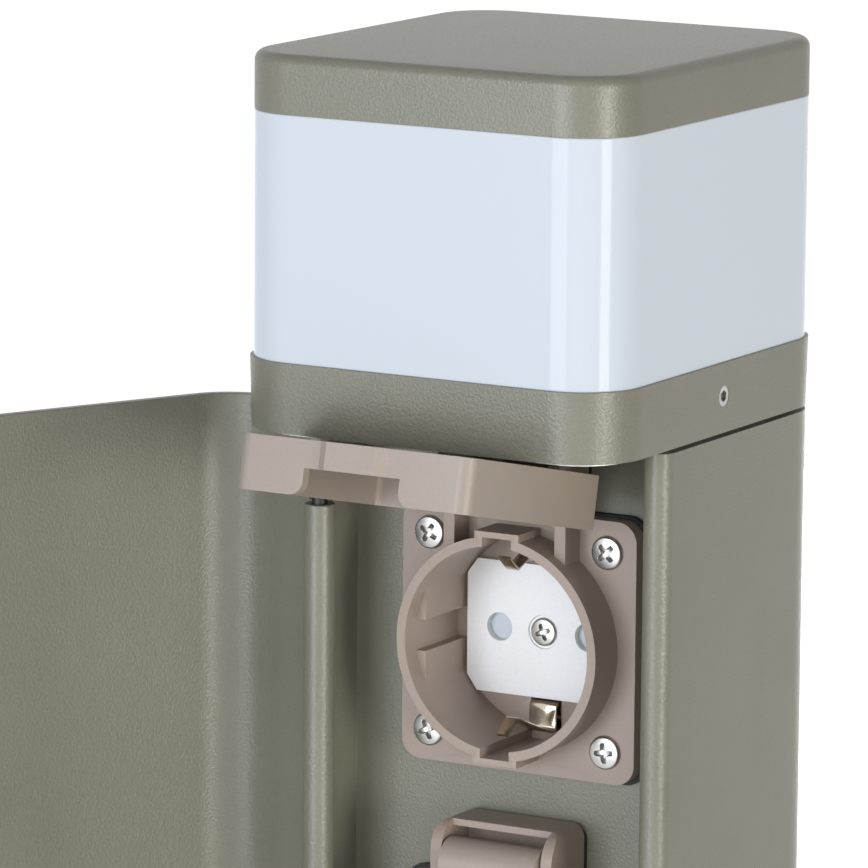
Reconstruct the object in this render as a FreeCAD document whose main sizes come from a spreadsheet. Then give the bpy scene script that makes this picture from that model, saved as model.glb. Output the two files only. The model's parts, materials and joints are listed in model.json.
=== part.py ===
import FreeCAD, Part
import os
import re

import Sketcher
from FreeCAD import Placement, Rotation, Vector

os.makedirs("parts", exist_ok=True)

# A garden lamp post with two weatherproof sockets behind a hinged door.
# X runs to the right, Y to the back, Z up, in millimetres. The origin is on the ground, under the middle of
# the lamp head. The door stands open and the upper socket's lid is up, as in the photograph.

# Driving sizes
SIZES = {
    # post
    "post_width": 80.0,
    "post_depth": 87.5,
    "corner_radius": 12.5,
    "wall": 2.4,
    "post_top": 380.0,
    "web_thickness": 2.5,
    "left_wall_end": -9.4,
    "bead_radius": 2.9,
    "bead_y": -18.4,
    "port_radius": 3.6,
    "port_bore": 1.75,
    "port_sink": 0.1,
    "rear_port_inset": 9.8,
    "front_port_inset": 9.2,
    "stalk_thickness": 1.6,
    # foot and base
    "base_size": 124.0,
    "base_thickness": 6.0,
    "base_corner": 14.0,
    "anchor_inset": 12.0,
    "anchor_radius": 4.5,
    "cable_opening": 16.0,
    "foot_height": 18.0,
    "foot_wall": 3.0,
    "foot_deck": 4.0,
    "foot_boss": 4.5,
    "foot_boss_inset": 9.5,
    "foot_boss_y": 22.0,
    "cord_slot_x": 15.0,
    "cord_slot_width": 13.0,
    "cord_slot_depth": 24.0,
    "gland_y": 22.0,
    "gland_radius": 8.0,
    "gland_bore": 4.6,
    "gland_hex": 19.0,
    "gland_flange": 5.0,
    "gland_thread": 8.0,
    "gland_nut": 4.0,
    "gland_seal": 4.0,
    "gland_grip": 0.8,
    # door and hinge
    "door_wall": 2.0,
    "door_lift": 2.0,
    "door_drop": 0.2,
    "door_edge_gap": 0.5,
    "door_open": 116.0,
    "hinge_inset": 2.7,
    "hinge_radius": 2.95,
    "pin_radius": 1.5,
    "pin_inset": 0.5,
    "running_gap": 0.05,
    "bottom_knuckle": 16.5,
    "top_knuckle": 16.1,
    "knuckle_gap": 1.5,
    "knuckle_relief": 5.2,
    "leaf_web_gap": 1.2,
    "leaf_thickness": 2.0,
    # cam lock
    "lock_inset": 25.5,
    "lock_z": 200.0,
    "lock_flange": 11.0,
    "lock_flange_thickness": 1.5,
    "lock_radius": 9.0,
    "lock_core": 6.0,
    "lock_nut_across": 22.0,
    "lock_nut_depth": 4.0,
    "cam_gap": 0.5,
    "cam_tip_gap": 0.6,
    "cam_width": 10.0,
    "cam_thickness": 2.5,
    "cam_corner": 2.0,
    # sockets
    "socket_drop": 42.1,
    "socket_pitch": 72.0,
    "plate_size": 50.0,
    "plate_corner": 4.0,
    "plate_thickness": 3.2,
    "flange_gasket": 1.2,
    "gasket_bulge": 0.6,
    "screw_pitch": 38.0,
    "cup_clearance": 0.45,
    "ring_outer": 21.3,
    "ring_wall": 1.8,
    "ring_front": -13.0,
    "cup_floor": 7.0,
    "floor_thickness": 2.0,
    "tab_half": 4.7,
    "tab_rise": 0.9,
    "tab_skin": 1.15,
    "tab_side": 1.6,
    "rib_height": 2.2,
    "rib_gap": 3.0,
    "rib_front": -9.0,
    "insert_gap": 0.7,
    "insert_half_z": 12.85,
    "insert_thickness": 1.5,
    "insert_recess": 0.5,
    "insert_chamfer_x": 2.2,
    "insert_chamfer_z": 3.0,
    "pin_pitch": 19.0,
    "pin_hole": 2.7,
    "carrier_half": 15.0,
    "carrier_depth": 22.0,
    "carrier_corner": 1.5,
    "carrier_nose_x": 14.6,
    "carrier_nose_z": 10.8,
    "contact_outer": 3.6,
    "contact_wall": 1.2,
    "contact_front": 12.0,
    "contact_length": 15.7,
    "contact_slit": 0.4,
    "clip_half": 2.9,
    "clip_tongue": 1.3,
    "clip_setback": 1.1,
    "clip_thickness": 0.6,
    "clip_opening": 13.0,
    "clip_room": 0.4,
    "clip_proud": 1.2,
    "clip_bend": 0.6,
    "clip_crest": 14.4,
    "clip_crest_y": -6.4,
    "clip_flare": 2.6,
    "clip_flare_run": 3.4,
    # hood and lid
    "hood_half": 13.0,
    "hood_low": 14.2,
    "cheek_wall": 2.3,
    "cheek_low": 1.3,
    "cheek_front": 2.7,
    "ear_setback": 1.3,
    "ear_rise": 0.8,
    "hood_rise": 8.1,
    "hood_round": 6.0,
    "hood_corner": 2.6,
    "lip_depth": 4.4,
    "roof_thickness": 1.5,
    "hood_back": 2.2,
    "tongue_drop": 0.8,
    "lid_side_inset": 0.8,
    "lid_top_inset": 0.8,
    "lid_overhang": 1.0,
    "lid_depth": 10.2,
    "lid_wall": 2.2,
    "lid_hinge_wall": 1.8,
    "lid_corner": 2.8,
    "lid_inner_corner": 1.2,
    "lid_arm": 5.6,
    "lid_knuckle": 4.9,
    "lid_open": 102.7,
    "lid_ear_gap": 0.4,
    "lid_cheek_gap": 0.5,
    "lid_notch_half": 9.9,
    "lid_notch_depth": 5.0,
    "lid_notch_round": 2.6,
    "lid_seal": 1.0,
    "lid_seal_width": 2.7,
    "grip_half": 5.2,
    "grip_flank": 3.4,
    "grip_rise": 1.2,
    "lid_pin_radius": 1.2,
    "lid_pin_skin": 0.8,
    # shutter
    "shutter_travel": 5.8,
    "shutter_side": 1.4,
    "shutter_play": 0.2,
    "shutter_slack": 0.1,
    "shutter_low": -4.0,
    "shutter_high": 9.4,
    "window_gap": 0.15,
    "spring_coil": 0.8,
    "spring_wire": 0.15,
    "spring_pitch": 0.9,
    "spring_room": 0.25,
    "spring_x": 4.7,
    "spring_top": 2.0,
    # lamp head
    "collar_gap": 0.8,
    "collar_height": 13.1,
    "collar_draft": 0.25,
    "collar_wall": 3.0,
    "collar_rim": 2.2,
    "head_recess": 2.4,
    "deck_thickness": 2.5,
    "seat_gap": 0.1,
    "seat_wall": 1.2,
    "seat_clearance": 0.4,
    "head_inset": 0.35,
    "head_screw_inset": 12.3,
    "diffuser_height": 45.7,
    "diffuser_wall": 3.5,
    "tongue_gap": 0.15,
    "gasket_thickness": 0.8,
    "cap_height": 11.0,
    "cap_round": 2.0,
    "cap_hollow_inset": 5.0,
    "cap_roof": 2.6,
    "cap_boss": 4.5,
    "cap_screw_bite": 6.0,
    "set_screw_y": 0.6,
    "set_screw_height": 6.9,
    "set_screw_radius": 1.95,
    "set_screw_proud": 0.05,
    "set_screw_key": 1.6,
    # light source
    "board_half_x": 22.0,
    "board_half_y": 25.0,
    "board_corner": 3.0,
    "board_screw_place": 18.0,
    "board_screw_length": 4.8,
    "spreader_margin": 1.0,
    "spreader_thickness": 1.5,
    "board_thickness": 1.2,
    "led_pitch": 8.0,
    "led_half": 1.75,
    "led_height": 0.9,
    # supply pieces
    "inner_half": 17.0,
    "inner_ear": 6.0,
    "inner_ear_thickness": 2.0,
    "terminal_z": 66.0,
    "terminal_height": 22.0,
    "terminal_depth": 18.0,
    "terminal_pitch": 9.0,
    "terminal_entry": 2.2,
    "terminal_screw": 2.0,
    "terminal_slot": 0.4,
    "terminal_recess": 1.0,
    "driver_z": 130.0,
    "driver_height": 74.0,
    "driver_depth": 20.0,
    # screws
    "foot_screw_head": 4.6,
    "foot_screw_sink": 2.4,
    "foot_screw_radius": 2.4,
    "foot_screw_length": 17.0,
    "port_screw_head": 3.5,
    "port_screw_height": 2.2,
    "port_screw_length": 15.0,
    "inner_screw_head": 2.7,
    "inner_screw_height": 1.8,
    "inner_screw_radius": 1.4,
    "inner_screw_length": 4.3,
    "hinge_screw_inset": 5.0,
    "hinge_screw_head": 2.6,
    "hinge_screw_sink": 1.3,
    "hinge_screw_radius": 1.3,
    "hinge_screw_skin": 0.6,
    "flange_screw_head": 3.25,
    "flange_screw_height": 1.1,
    "flange_screw_radius": 1.6,
    "flange_screw_length": 9.0,
    "insert_screw_head": 2.75,
    "insert_screw_height": 0.9,
    "insert_screw_radius": 1.4,
    "insert_screw_length": 12.0,
    "cam_screw_head": 3.0,
    "cam_screw_height": 1.8,
    "cam_screw_radius": 1.4,
    "cam_screw_length": 8.0,
}

# Places and sizes that follow from the driving sizes
PLACES = {
    "half_width": "post_width / 2",
    "half_depth": "post_depth / 2",
    "anchor_place": "base_size / 2 - anchor_inset",
    # column
    "rear_port_x": "half_width - rear_port_inset",
    "rear_port_y": "half_depth - rear_port_inset",
    "front_port_x": "half_width - front_port_inset",
    "front_port_y": "web_thickness + port_radius - port_sink",
    "foot_top": "base_thickness + foot_height",
    "foot_under": "foot_top - foot_deck",
    "foot_boss_x": "half_width - foot_boss_inset",
    # door
    "door_bottom": "foot_top + door_lift",
    "door_top": "post_top - door_drop",
    "door_right_end": "bead_y - bead_radius - door_edge_gap",
    "hinge_x": "hinge_inset - half_width",
    "hinge_y": "left_wall_end - knuckle_relief",
    "bottom_knuckle_top": "door_bottom + bottom_knuckle",
    "top_knuckle_bottom": "door_top - top_knuckle",
    "hinge_screw_y": "left_wall_end + hinge_screw_inset",
    "lock_x": "half_width - lock_inset",
    "lock_rear": "bead_y + bead_radius + cam_gap",
    "cam_rear": "lock_rear + cam_thickness",
    "cam_reach": "lock_inset - wall - cam_tip_gap",
    # sockets
    "upper_z": "post_top - socket_drop",
    "screw_place": "screw_pitch / 2",
    "pin_place": "pin_pitch / 2",
    "plate_back": "-flange_gasket",
    "plate_front": "-flange_gasket - plate_thickness",
    "plate_half": "plate_size / 2",
    "gasket_half": "plate_half + gasket_bulge",
    "web_hole": "ring_outer + cup_clearance",
    "ring_inner": "ring_outer - ring_wall",
    "clip_middle": "ring_inner - clip_setback - clip_thickness / 2",
    "clip_inner": "clip_opening + clip_room + clip_thickness / 2",
    "clip_outer": "ring_inner - clip_room - clip_thickness / 2",
    "clip_front": "cup_floor - clip_proud",
    "cup_back": "cup_floor + floor_thickness",
    "tab_reach": "ring_outer + tab_rise",
    "slot_half": "tab_half - tab_side",
    "slot_reach": "tab_reach - tab_skin",
    "rib_flat": "ring_inner - rib_height",
    "insert_half_x": "rib_flat - insert_gap",
    "insert_front": "cup_floor - insert_thickness",
    "carrier_back": "cup_back + carrier_depth",
    # hood and lid
    "lid_half": "plate_half - lid_side_inset",
    "lid_top": "plate_half - lid_top_inset",
    "lid_end": "-plate_half - lid_overhang",
    "lid_floor": "ring_front - lid_seal",
    "lid_front": "lid_floor - lid_wall",
    "lid_rear": "lid_front + lid_depth",
    "lid_axis_y": "lid_front + lid_knuckle",
    "lid_axis_z": "lid_top + lid_arm",
    "cheek_inner": "hood_half - cheek_wall",
    "hood_top": "lid_axis_z + hood_rise",
    "hood_front": "lid_axis_y - cheek_front",
    "hood_lip": "hood_front + lip_depth",
    "roof_under": "hood_top - roof_thickness",
    "ear_front": "lid_axis_y + ear_setback",
    "shutter_half": "carrier_nose_x - shutter_side",
    "shutter_floor": "shutter_low - shutter_travel - 1.5 * shutter_play",
    # lamp head
    "collar_bottom": "post_top + collar_gap",
    "collar_top": "collar_bottom + collar_height",
    "collar_deck_top": "collar_top - head_recess",
    "collar_deck_low": "collar_deck_top - deck_thickness",
    "seat_inset": "collar_wall + seat_gap",
    "seat_floor": "post_top + wall",
    "seat_top": "collar_deck_low - seat_clearance",
    "set_screw_z": "collar_bottom + set_screw_height",
    "head_screw_x": "half_width - head_screw_inset",
    "head_screw_y": "half_depth - head_screw_inset",
    "tongue_inset": "collar_rim + tongue_gap",
    "diffuser_inner": "head_inset + diffuser_wall",
    "cap_bottom": "collar_top + diffuser_height",
    "cap_deck": "cap_bottom + head_recess",
    "cap_top": "cap_bottom + cap_height",
    "spreader_top": "collar_deck_top + spreader_thickness",
    "board_top": "spreader_top + board_thickness",
}

PLANES = {"XY": "XY_Plane", "XZ": "XZ_Plane", "YZ": "YZ_Plane"}
NORMALS = {"XY": Vector(0, 0, 1), "XZ": Vector(0, -1, 0), "YZ": Vector(1, 0, 0)}
TURNS = {
    "x": Rotation(Vector(0, 1, 0), 90),
    "y": Rotation(Vector(1, 0, 0), -90),
    "z": Rotation(),
}

doc = FreeCAD.newDocument("garden_socket_post")
sheet = doc.addObject("Spreadsheet::Sheet", "params")
for row, (alias, size) in enumerate(SIZES.items(), start=1):
    sheet.set(f"A{row}", alias)
    sheet.set(f"B{row}", str(size))
    sheet.setAlias(f"B{row}", alias)
doc.recompute()

sub_parts = []


# Expressions over the sheet
def in_sizes(text, prefix=""):
    """The expression with each place written out in driving sizes, which get the prefix."""

    def written_out(match):
        word = match[0]
        if word in PLACES:
            return f"({in_sizes(PLACES[word], prefix)})"
        return prefix + word if word in SIZES else word

    return re.sub(r"[a-z][a-z_]+", written_out, text)


def bind(thing, name, text):
    thing.setExpression(name, in_sizes(text, "params."))


def number(text):
    return float(sheet.evalExpression(in_sizes(text)))


def minus(text):
    return f"-({text})"


def past(span):
    """The span and a little more at both ends, for a tool that cuts right through."""
    return (f"{span[0]} - 1", f"{span[1]} + 1")


def both(reach):
    """From minus to plus an expression."""
    return (minus(reach), reach)


def span_of(*ends):
    """Two expressions in rising order."""
    return tuple(sorted(ends, key=number))


# Building blocks
def block(name, x, y, z):
    """A box from the low to the high expression along each axis."""
    box = doc.addObject("Part::Box", name)
    for size, axis, (low, high) in (("Length", "x", x), ("Width", "y", y), ("Height", "z", z)):
        bind(box, size, f"({high}) - ({low})")
        bind(box, f"Placement.Base.{axis}", low)
    return box


def rod(name, along, radius, span, at):
    """A cylinder along one axis, over a span, at the other two axes' places in x, y, z order."""
    cylinder = doc.addObject("Part::Cylinder", name)
    cylinder.Placement = Placement(Vector(), TURNS[along])
    bind(cylinder, "Radius", radius)
    bind(cylinder, "Height", f"({span[1]}) - ({span[0]})")
    places = dict(zip([axis for axis in "xyz" if axis != along], at))
    places[along] = span[0]
    for axis, place in places.items():
        bind(cylinder, f"Placement.Base.{axis}", place)
    return cylinder


def cone(name, along, radii, span, at):
    """A cone along one axis, with the radius at each end of its span."""
    frustum = doc.addObject("Part::Cone", name)
    frustum.Placement = Placement(Vector(), TURNS[along])
    bind(frustum, "Radius1", radii[0])
    bind(frustum, "Radius2", radii[1])
    bind(frustum, "Height", f"({span[1]}) - ({span[0]})")
    places = dict(zip([axis for axis in "xyz" if axis != along], at))
    places[along] = span[0]
    for axis, place in places.items():
        bind(frustum, f"Placement.Base.{axis}", place)
    return frustum


def hexagon(name, along, across, span, at):
    """A hexagonal prism of a width across its flats, along one axis."""
    prism_six = doc.addObject("Part::Prism", name)
    prism_six.Polygon = 6
    prism_six.Placement = Placement(Vector(), TURNS[along])
    bind(prism_six, "Circumradius", f"({across}) / sqrt(3)")
    bind(prism_six, "Height", f"({span[1]}) - ({span[0]})")
    places = dict(zip([axis for axis in "xyz" if axis != along], at))
    places[along] = span[0]
    for axis, place in places.items():
        bind(prism_six, f"Placement.Base.{axis}", place)
    return prism_six


def fuse(name, *parts):
    """One solid of several that overlap or touch."""
    union = doc.addObject("Part::MultiFuse", name)
    union.Shapes = list(parts)
    union.Refine = True
    return union


def cut(name, base, *tools):
    """The base without the tools."""
    tool = tools[0] if len(tools) == 1 else fuse(name + "_tools", *tools)
    difference = doc.addObject("Part::Cut", name)
    difference.Base = base
    difference.Tool = tool
    difference.Refine = True
    return difference


def draw(sketch, outline):
    """A closed outline of straight lines, each corner fixed from the origin by two expressions."""
    corners = [Vector(number(x), number(y), 0) for x, y in outline]
    count = len(corners)
    for i, corner in enumerate(corners):
        sketch.addGeometry(Part.LineSegment(corner, corners[(i + 1) % count]), False)
    for i in range(count):
        sketch.addConstraint(Sketcher.Constraint("Coincident", i, 2, (i + 1) % count, 1))
    for i, corner in enumerate(corners):
        for kind, place, text, axis in (
            ("DistanceX", corner.x, outline[i][0], -2),
            ("DistanceY", corner.y, outline[i][1], -1),
        ):
            if abs(place) < 1e-9:
                sketch.addConstraint(Sketcher.Constraint("PointOnObject", i, 1, axis))
            else:
                index = sketch.addConstraint(Sketcher.Constraint(kind, -1, 1, i, 1, place))
                bind(sketch, f"Constraints[{index}]", text)


def rectangle(x, y):
    return [(x[0], y[0]), (x[1], y[0]), (x[1], y[1]), (x[0], y[1])]


def prism(name, plane, outline, span, rounds=None, taper=None):
    """An outline drawn on a plane and padded over a span. rounds is a radius for every corner, or a dictionary
    from a corner's number to its radius."""
    body = doc.addObject("PartDesign::Body", name)
    sketch = body.newObject("Sketcher::SketchObject", name + "_sketch")
    origin = [part for part in body.Origin.OriginFeatures if part.Role == PLANES[plane]][0]
    sketch.AttachmentSupport = (origin, [""])
    sketch.MapMode = "FlatFace"
    start = minus(span[1]) if plane == "XZ" else span[0]
    bind(sketch, "AttachmentOffset.Base.z", start)
    draw(sketch, outline)
    pad = body.newObject("PartDesign::Pad", name + "_pad")
    pad.Profile = sketch
    bind(pad, "Length", f"({span[1]}) - ({span[0]})")
    if taper:
        bind(pad, "TaperAngle", taper)
    body.Tip = pad
    if rounds is None:
        return body
    doc.recompute()
    if not isinstance(rounds, dict):
        rounds = {corner: rounds for corner in range(len(outline))}
    for radius in sorted(set(rounds.values())):
        places = [outline[corner] for corner in rounds if rounds[corner] == radius]
        round_edges(body, plane, places, radius)
    return body


def round_edges(body, plane, places, radius):
    """Rounds the body's long edges that start at the given places of its plane."""
    base = body.Tip
    names = []
    for index, edge in enumerate(base.Shape.Edges, start=1):
        ends = [edge.valueAt(edge.FirstParameter), edge.valueAt(edge.LastParameter)]
        run = (ends[1] - ends[0]).normalize()
        if abs(run.dot(NORMALS[plane])) < 0.99:
            continue
        for x, y in places:
            if min(flat_distance(end, plane, number(x), number(y)) for end in ends) < 0.01:
                names.append(f"Edge{index}")
    soften(body, names, radius)


def flat_distance(point, plane, x, y):
    across, along = {"XY": (point.x, point.y), "XZ": (point.x, point.z), "YZ": (point.y, point.z)}[plane]
    return max(abs(across - x), abs(along - y))


def soften(body, names, radius):
    """A fillet on the named edges of the body's tip."""
    base = body.Tip
    fillet = body.newObject("PartDesign::Fillet", base.Name + "_round")
    fillet.Base = (base, names)
    bind(fillet, "Radius", radius)
    body.Tip = fillet
    doc.recompute()


def soften_top(body, height, radius):
    """A fillet round the body's top edge."""
    names = [
        f"Edge{index}"
        for index, edge in enumerate(body.Tip.Shape.Edges, start=1)
        if edge.BoundBox.ZMin > number(height) - 0.001
    ]
    soften(body, names, radius)


def rounded_ring(name, outer_inset, inner_inset, span):
    """A band that follows the post's outline, between two insets."""
    outer = post_prism(name + "_outer", outer_inset, span)
    return cut(name, outer, post_prism(name + "_inner", inner_inset, past(span)))


def post_prism(name, inset, span, taper=None):
    """The post's rounded outline, moved inwards by an inset, over a span of Z."""
    x = f"half_width - ({inset})"
    y = f"half_depth - ({inset})"
    outline = rectangle((minus(x), x), (minus(y), y))
    return prism(name, "XY", outline, span, rounds=f"corner_radius - ({inset})", taper=taper)


def move(part, x="0", y="0", z="0", turn=None):
    """The part's place, as three expressions, and its turn."""
    if turn is not None:
        part.Placement = Placement(Vector(), turn)
    for axis, place in (("x", x), ("y", y), ("z", z)):
        bind(part, f"Placement.Base.{axis}", place)
    return part


def sub_part(label, part):
    """Names a finished piece."""
    part.Label = label
    sub_parts.append(part)
    return part


def group(label, parts):
    """Identical pieces that share one name, as separate solids."""
    compound = doc.addObject("Part::Compound", label + "_group")
    compound.Links = list(parts)
    return sub_part(label, compound)


# Screws, each made at the origin with its head above
HEADS = {
    "up": Rotation(),
    "down": Rotation(Vector(1, 0, 0), 180),
    "front": Rotation(Vector(1, 0, 0), 90),
    "back": Rotation(Vector(1, 0, 0), -90),
    "right": Rotation(Vector(0, 1, 0), 90),
    "left": Rotation(Vector(0, 1, 0), -90),
}


def cross_recess(name, width, top):
    """Two crossing slots that a screwdriver turns."""
    half = f"({width}) / 2"
    thin = f"({width}) / 9"
    depth = (f"({top}) - ({width}) / 4", f"({top}) + 1")
    return [
        block(name + "_slot_a", (minus(half), half), (minus(thin), thin), depth),
        block(name + "_slot_b", (minus(thin), thin), (minus(half), half), depth),
    ]


def pan_screw(name, head, height, radius, length, facing, at):
    """A domed cross-head screw, its head's underside at the place and its head on the facing side."""
    cap = doc.addObject("Part::Common", name + "_head")
    cap.Base = rod(name + "_disc", "z", head, ("0", height), ("0", "0"))
    dome = doc.addObject("Part::Sphere", name + "_dome")
    bind(dome, "Radius", f"2 * ({head})")
    bind(dome, "Placement.Base.z", f"({height}) - 2 * ({head})")
    cap.Tool = dome
    shank = rod(name + "_shank", "z", radius, (minus(length), "0"), ("0", "0"))
    whole = fuse(name + "_blank", cap, shank)
    screw = cut(name, whole, *cross_recess(name, f"1.1 * ({head})", height))
    return move(screw, *at, turn=HEADS[facing])


def flush_screw(name, head, height, radius, length, facing, at):
    """A countersunk cross-head screw, its head's flat top at the place."""
    sunk = cone(name + "_head", "z", (radius, head), (minus(height), "0"), ("0", "0"))
    shank = rod(name + "_shank", "z", radius, (minus(length), "0"), ("0", "0"))
    whole = fuse(name + "_blank", sunk, shank)
    screw = cut(name, whole, *cross_recess(name, f"({head})", "0"))
    return move(screw, *at, turn=HEADS[facing])


def mirrored_pairs(x, y):
    """The four places at plus and minus two expressions."""
    return [(right + x, back + y) for right in ("-", "") for back in ("-", "")]


def port_places():
    """The column's four screw ports."""
    places = []
    for side in ("-", ""):
        places.append((side + "rear_port_x", "rear_port_y"))
        places.append((side + "front_port_x", "front_port_y"))
    return places


# Foot
def base_plate():
    half = ("-base_size / 2", "base_size / 2")
    span = ("0", "base_thickness")
    plate = prism("base_blank", "XY", rectangle(half, half), span, "base_corner")
    holes = [
        rod("anchor_hole", "z", "anchor_radius", past(span), at)
        for at in mirrored_pairs("anchor_place", "anchor_place")
    ]
    holes.append(rod("cable_opening", "z", "cable_opening", past(span), ("0", "gland_y")))
    for at in mirrored_pairs("foot_boss_x", "foot_boss_y"):
        holes.append(rod("foot_screw_hole", "z", "foot_screw_radius + running_gap", past(span), at))
        sink = ("foot_screw_head + running_gap", "foot_screw_radius + running_gap")
        holes.append(cone("foot_screw_sink", "z", sink, ("0", "foot_screw_sink"), at))
    sub_part("base_plate", cut("base_plate_cut", plate, *holes))


def foot():
    deck = past(("foot_under", "foot_top"))
    outer = post_prism("foot_outer", "0", ("base_thickness", "foot_top"))
    pocket = post_prism("foot_pocket", "foot_wall", ("base_thickness - 1", "foot_under"))
    shell = cut("foot_shell", outer, pocket)
    boss_places = mirrored_pairs("foot_boss_x", "foot_boss_y")
    bosses = [rod("foot_boss", "z", "foot_boss", ("base_thickness", "foot_under"), at) for at in boss_places]
    holes = [
        rod("foot_thread", "z", "foot_screw_radius", ("base_thickness - 1", "foot_screw_length"), at)
        for at in boss_places
    ]
    holes += [rod("deck_hole", "z", "port_bore + running_gap", deck, at) for at in port_places()]
    holes.append(rod("gland_hole", "z", "gland_radius + running_gap", deck, ("0", "gland_y")))
    holes += [cord_slot(side) for side in ("-", "")]
    sub_part("foot", cut("foot_cut", fuse("foot_body", shell, *bosses), *holes))


def cord_slot(side):
    """A slot in the foot's front where a plugged cord leaves under the closed door."""
    centre = side + "cord_slot_x"
    half = "cord_slot_width / 2"
    end = f"cord_slot_depth - half_depth - {half}"
    height = past(("base_thickness", "foot_top"))
    straight = block("cord_slot", (f"{centre} - {half}", f"{centre} + {half}"), ("-half_depth - 1", end), height)
    return fuse("cord_slot_tool", straight, rod("cord_slot_end", "z", half, height, (centre, end)))


def foot_fasteners():
    screws = [
        flush_screw("foot_screw", "foot_screw_head", "foot_screw_sink", "foot_screw_radius",
                    "foot_screw_length", "down", (x, y, "0"))
        for x, y in mirrored_pairs("foot_boss_x", "foot_boss_y")
    ]
    group("foot_screws", screws)


def port_screws():
    """Four screws up into the column from the foot, and four down into it from the lamp seat."""
    sizes = ("port_screw_head", "port_screw_height", "port_bore", "port_screw_length")
    low = [pan_screw("foot_port_screw", *sizes, "down", (x, y, "foot_under")) for x, y in port_places()]
    high = [pan_screw("seat_port_screw", *sizes, "up", (x, y, "seat_floor")) for x, y in port_places()]
    group("port_screws", low + high)


def gland():
    """The supply cable's screwed entry through the foot's deck."""
    at = ("0", "gland_y")
    flange_top = "foot_top + gland_flange"
    thread_top = flange_top + " + gland_thread"
    nut_span = ("foot_under - gland_nut", "foot_under")
    flange = hexagon("gland_flange", "z", "gland_hex", ("foot_top", flange_top), at)
    thread = rod("gland_thread", "z", "gland_radius", (nut_span[0], thread_top), at)
    hole = rod("gland_hole", "z", "gland_bore", ("0", thread_top + " + 1"), at)
    sub_part("gland_body", cut("gland_body_cut", fuse("gland_blank", flange, thread), hole))
    nut = hexagon("gland_nut_blank", "z", "gland_hex", nut_span, at)
    nut_hole = rod("gland_nut_hole", "z", "gland_radius + running_gap", past(nut_span), at)
    sub_part("gland_nut", cut("gland_nut_cut", nut, nut_hole))
    cap_low = flange_top + " + knuckle_gap"
    cap_high = thread_top + " + gland_seal + gland_flange"
    dome = hexagon("gland_cap_blank", "z", "gland_hex", (cap_low, cap_high), at)
    seal_top = thread_top + " + gland_seal"
    bell = rod("gland_cap_bell", "z", "gland_radius + running_gap", (cap_low + " - 1", seal_top), at)
    mouth = rod("gland_cap_mouth", "z", "gland_bore", (cap_low, cap_high + " + 1"), at)
    sub_part("gland_cap", cut("gland_cap_cut", dome, bell, mouth))
    seal = rod("gland_seal_blank", "z", "gland_radius", (thread_top, seal_top), at)
    grip = rod("gland_seal_hole", "z", "gland_bore - gland_grip", ("0", cap_high), at)
    sub_part("gland_seal", cut("gland_seal_cut", seal, grip))


# Column
def column():
    """One extrusion: back shell, web behind the door, front bead and screw ports."""
    span = ("foot_top", "post_top")
    shell = cut(
        "column_shell",
        post_prism("column_outer", "0", span),
        post_prism("column_inner", "wall", past(span)),
        block("column_front", ("-half_width - 1", "0"), ("-half_depth - 1", "left_wall_end"), past(span)),
        block("column_front_right", ("0", "half_width + 1"), ("-half_depth - 1", "bead_y"), past(span)),
    )
    inside = "half_width - wall / 2"
    web = block("column_web", (minus(inside), inside), ("0", "web_thickness"), span)
    bead = rod("column_bead", "z", "bead_radius", span, ("half_width - bead_radius", "bead_y"))
    ports = [rod("column_port", "z", "port_radius", span, at) for at in port_places()]
    stalk_y = ("rear_port_y - stalk_thickness / 2", "rear_port_y + stalk_thickness / 2")
    stalks = [
        block("column_stalk", span_of(side + "rear_port_x", side + f"({inside})"), stalk_y, span)
        for side in ("-", "")
    ]
    holes = [rod("column_port_bore", "z", "port_bore", past(span), at) for at in port_places()]
    for height in socket_heights():
        holes += socket_holes(height)
    web_span = past(("0", "web_thickness"))
    holes += [rod("inner_screw_hole", "y", "inner_screw_radius", web_span, ("0", z)) for z in inner_screw_heights()]
    wall_span = ("hinge_screw_skin - half_width", "wall + 1 - half_width")
    holes += [rod("hinge_screw_hole", "x", "hinge_screw_radius", wall_span, at) for at in hinge_screw_places()]
    sub_part("column", cut("column_cut", fuse("column_body", shell, web, bead, *ports, *stalks), *holes))


def socket_heights():
    return ("upper_z", "upper_z - socket_pitch")


def socket_holes(height):
    """The holes in the web for one socket: its cup, and its four screws."""
    through = past(("0", "web_thickness"))
    holes = [rod("socket_hole", "y", "web_hole", through, ("0", height))]
    for x, z in mirrored_pairs("screw_place", "screw_place"):
        holes.append(rod("socket_screw_hole", "y", "flange_screw_radius", through, (x, f"{height} + {z}")))
    return holes


# Supply pieces behind the web
def inner_screw_heights():
    return (
        "terminal_z - inner_ear / 2",
        "terminal_z + terminal_height + inner_ear / 2",
        "driver_z - inner_ear / 2",
        "driver_z + driver_height + inner_ear / 2",
    )


def boxed_unit(name, low, height, depth):
    """A box on the web's back with an ear above and below, each with its screw hole."""
    x = (minus("inner_half"), "inner_half")
    ears = block(
        name + "_ears",
        (minus("inner_ear"), "inner_ear"),
        ("web_thickness", "web_thickness + inner_ear_thickness"),
        (f"{low} - inner_ear", f"{low} + {height} + inner_ear"),
    )
    case = block(name + "_case", x, ("web_thickness", f"web_thickness + {depth}"), (low, f"{low} + {height}"))
    ear_span = ("0", "web_thickness + inner_ear_thickness + 1")
    holes = [
        rod(name + "_hole", "y", "inner_screw_radius + running_gap", ear_span, ("0", z))
        for z in (f"{low} - inner_ear / 2", f"{low} + {height} + inner_ear / 2")
    ]
    return fuse(name + "_blank", case, ears), holes


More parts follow.
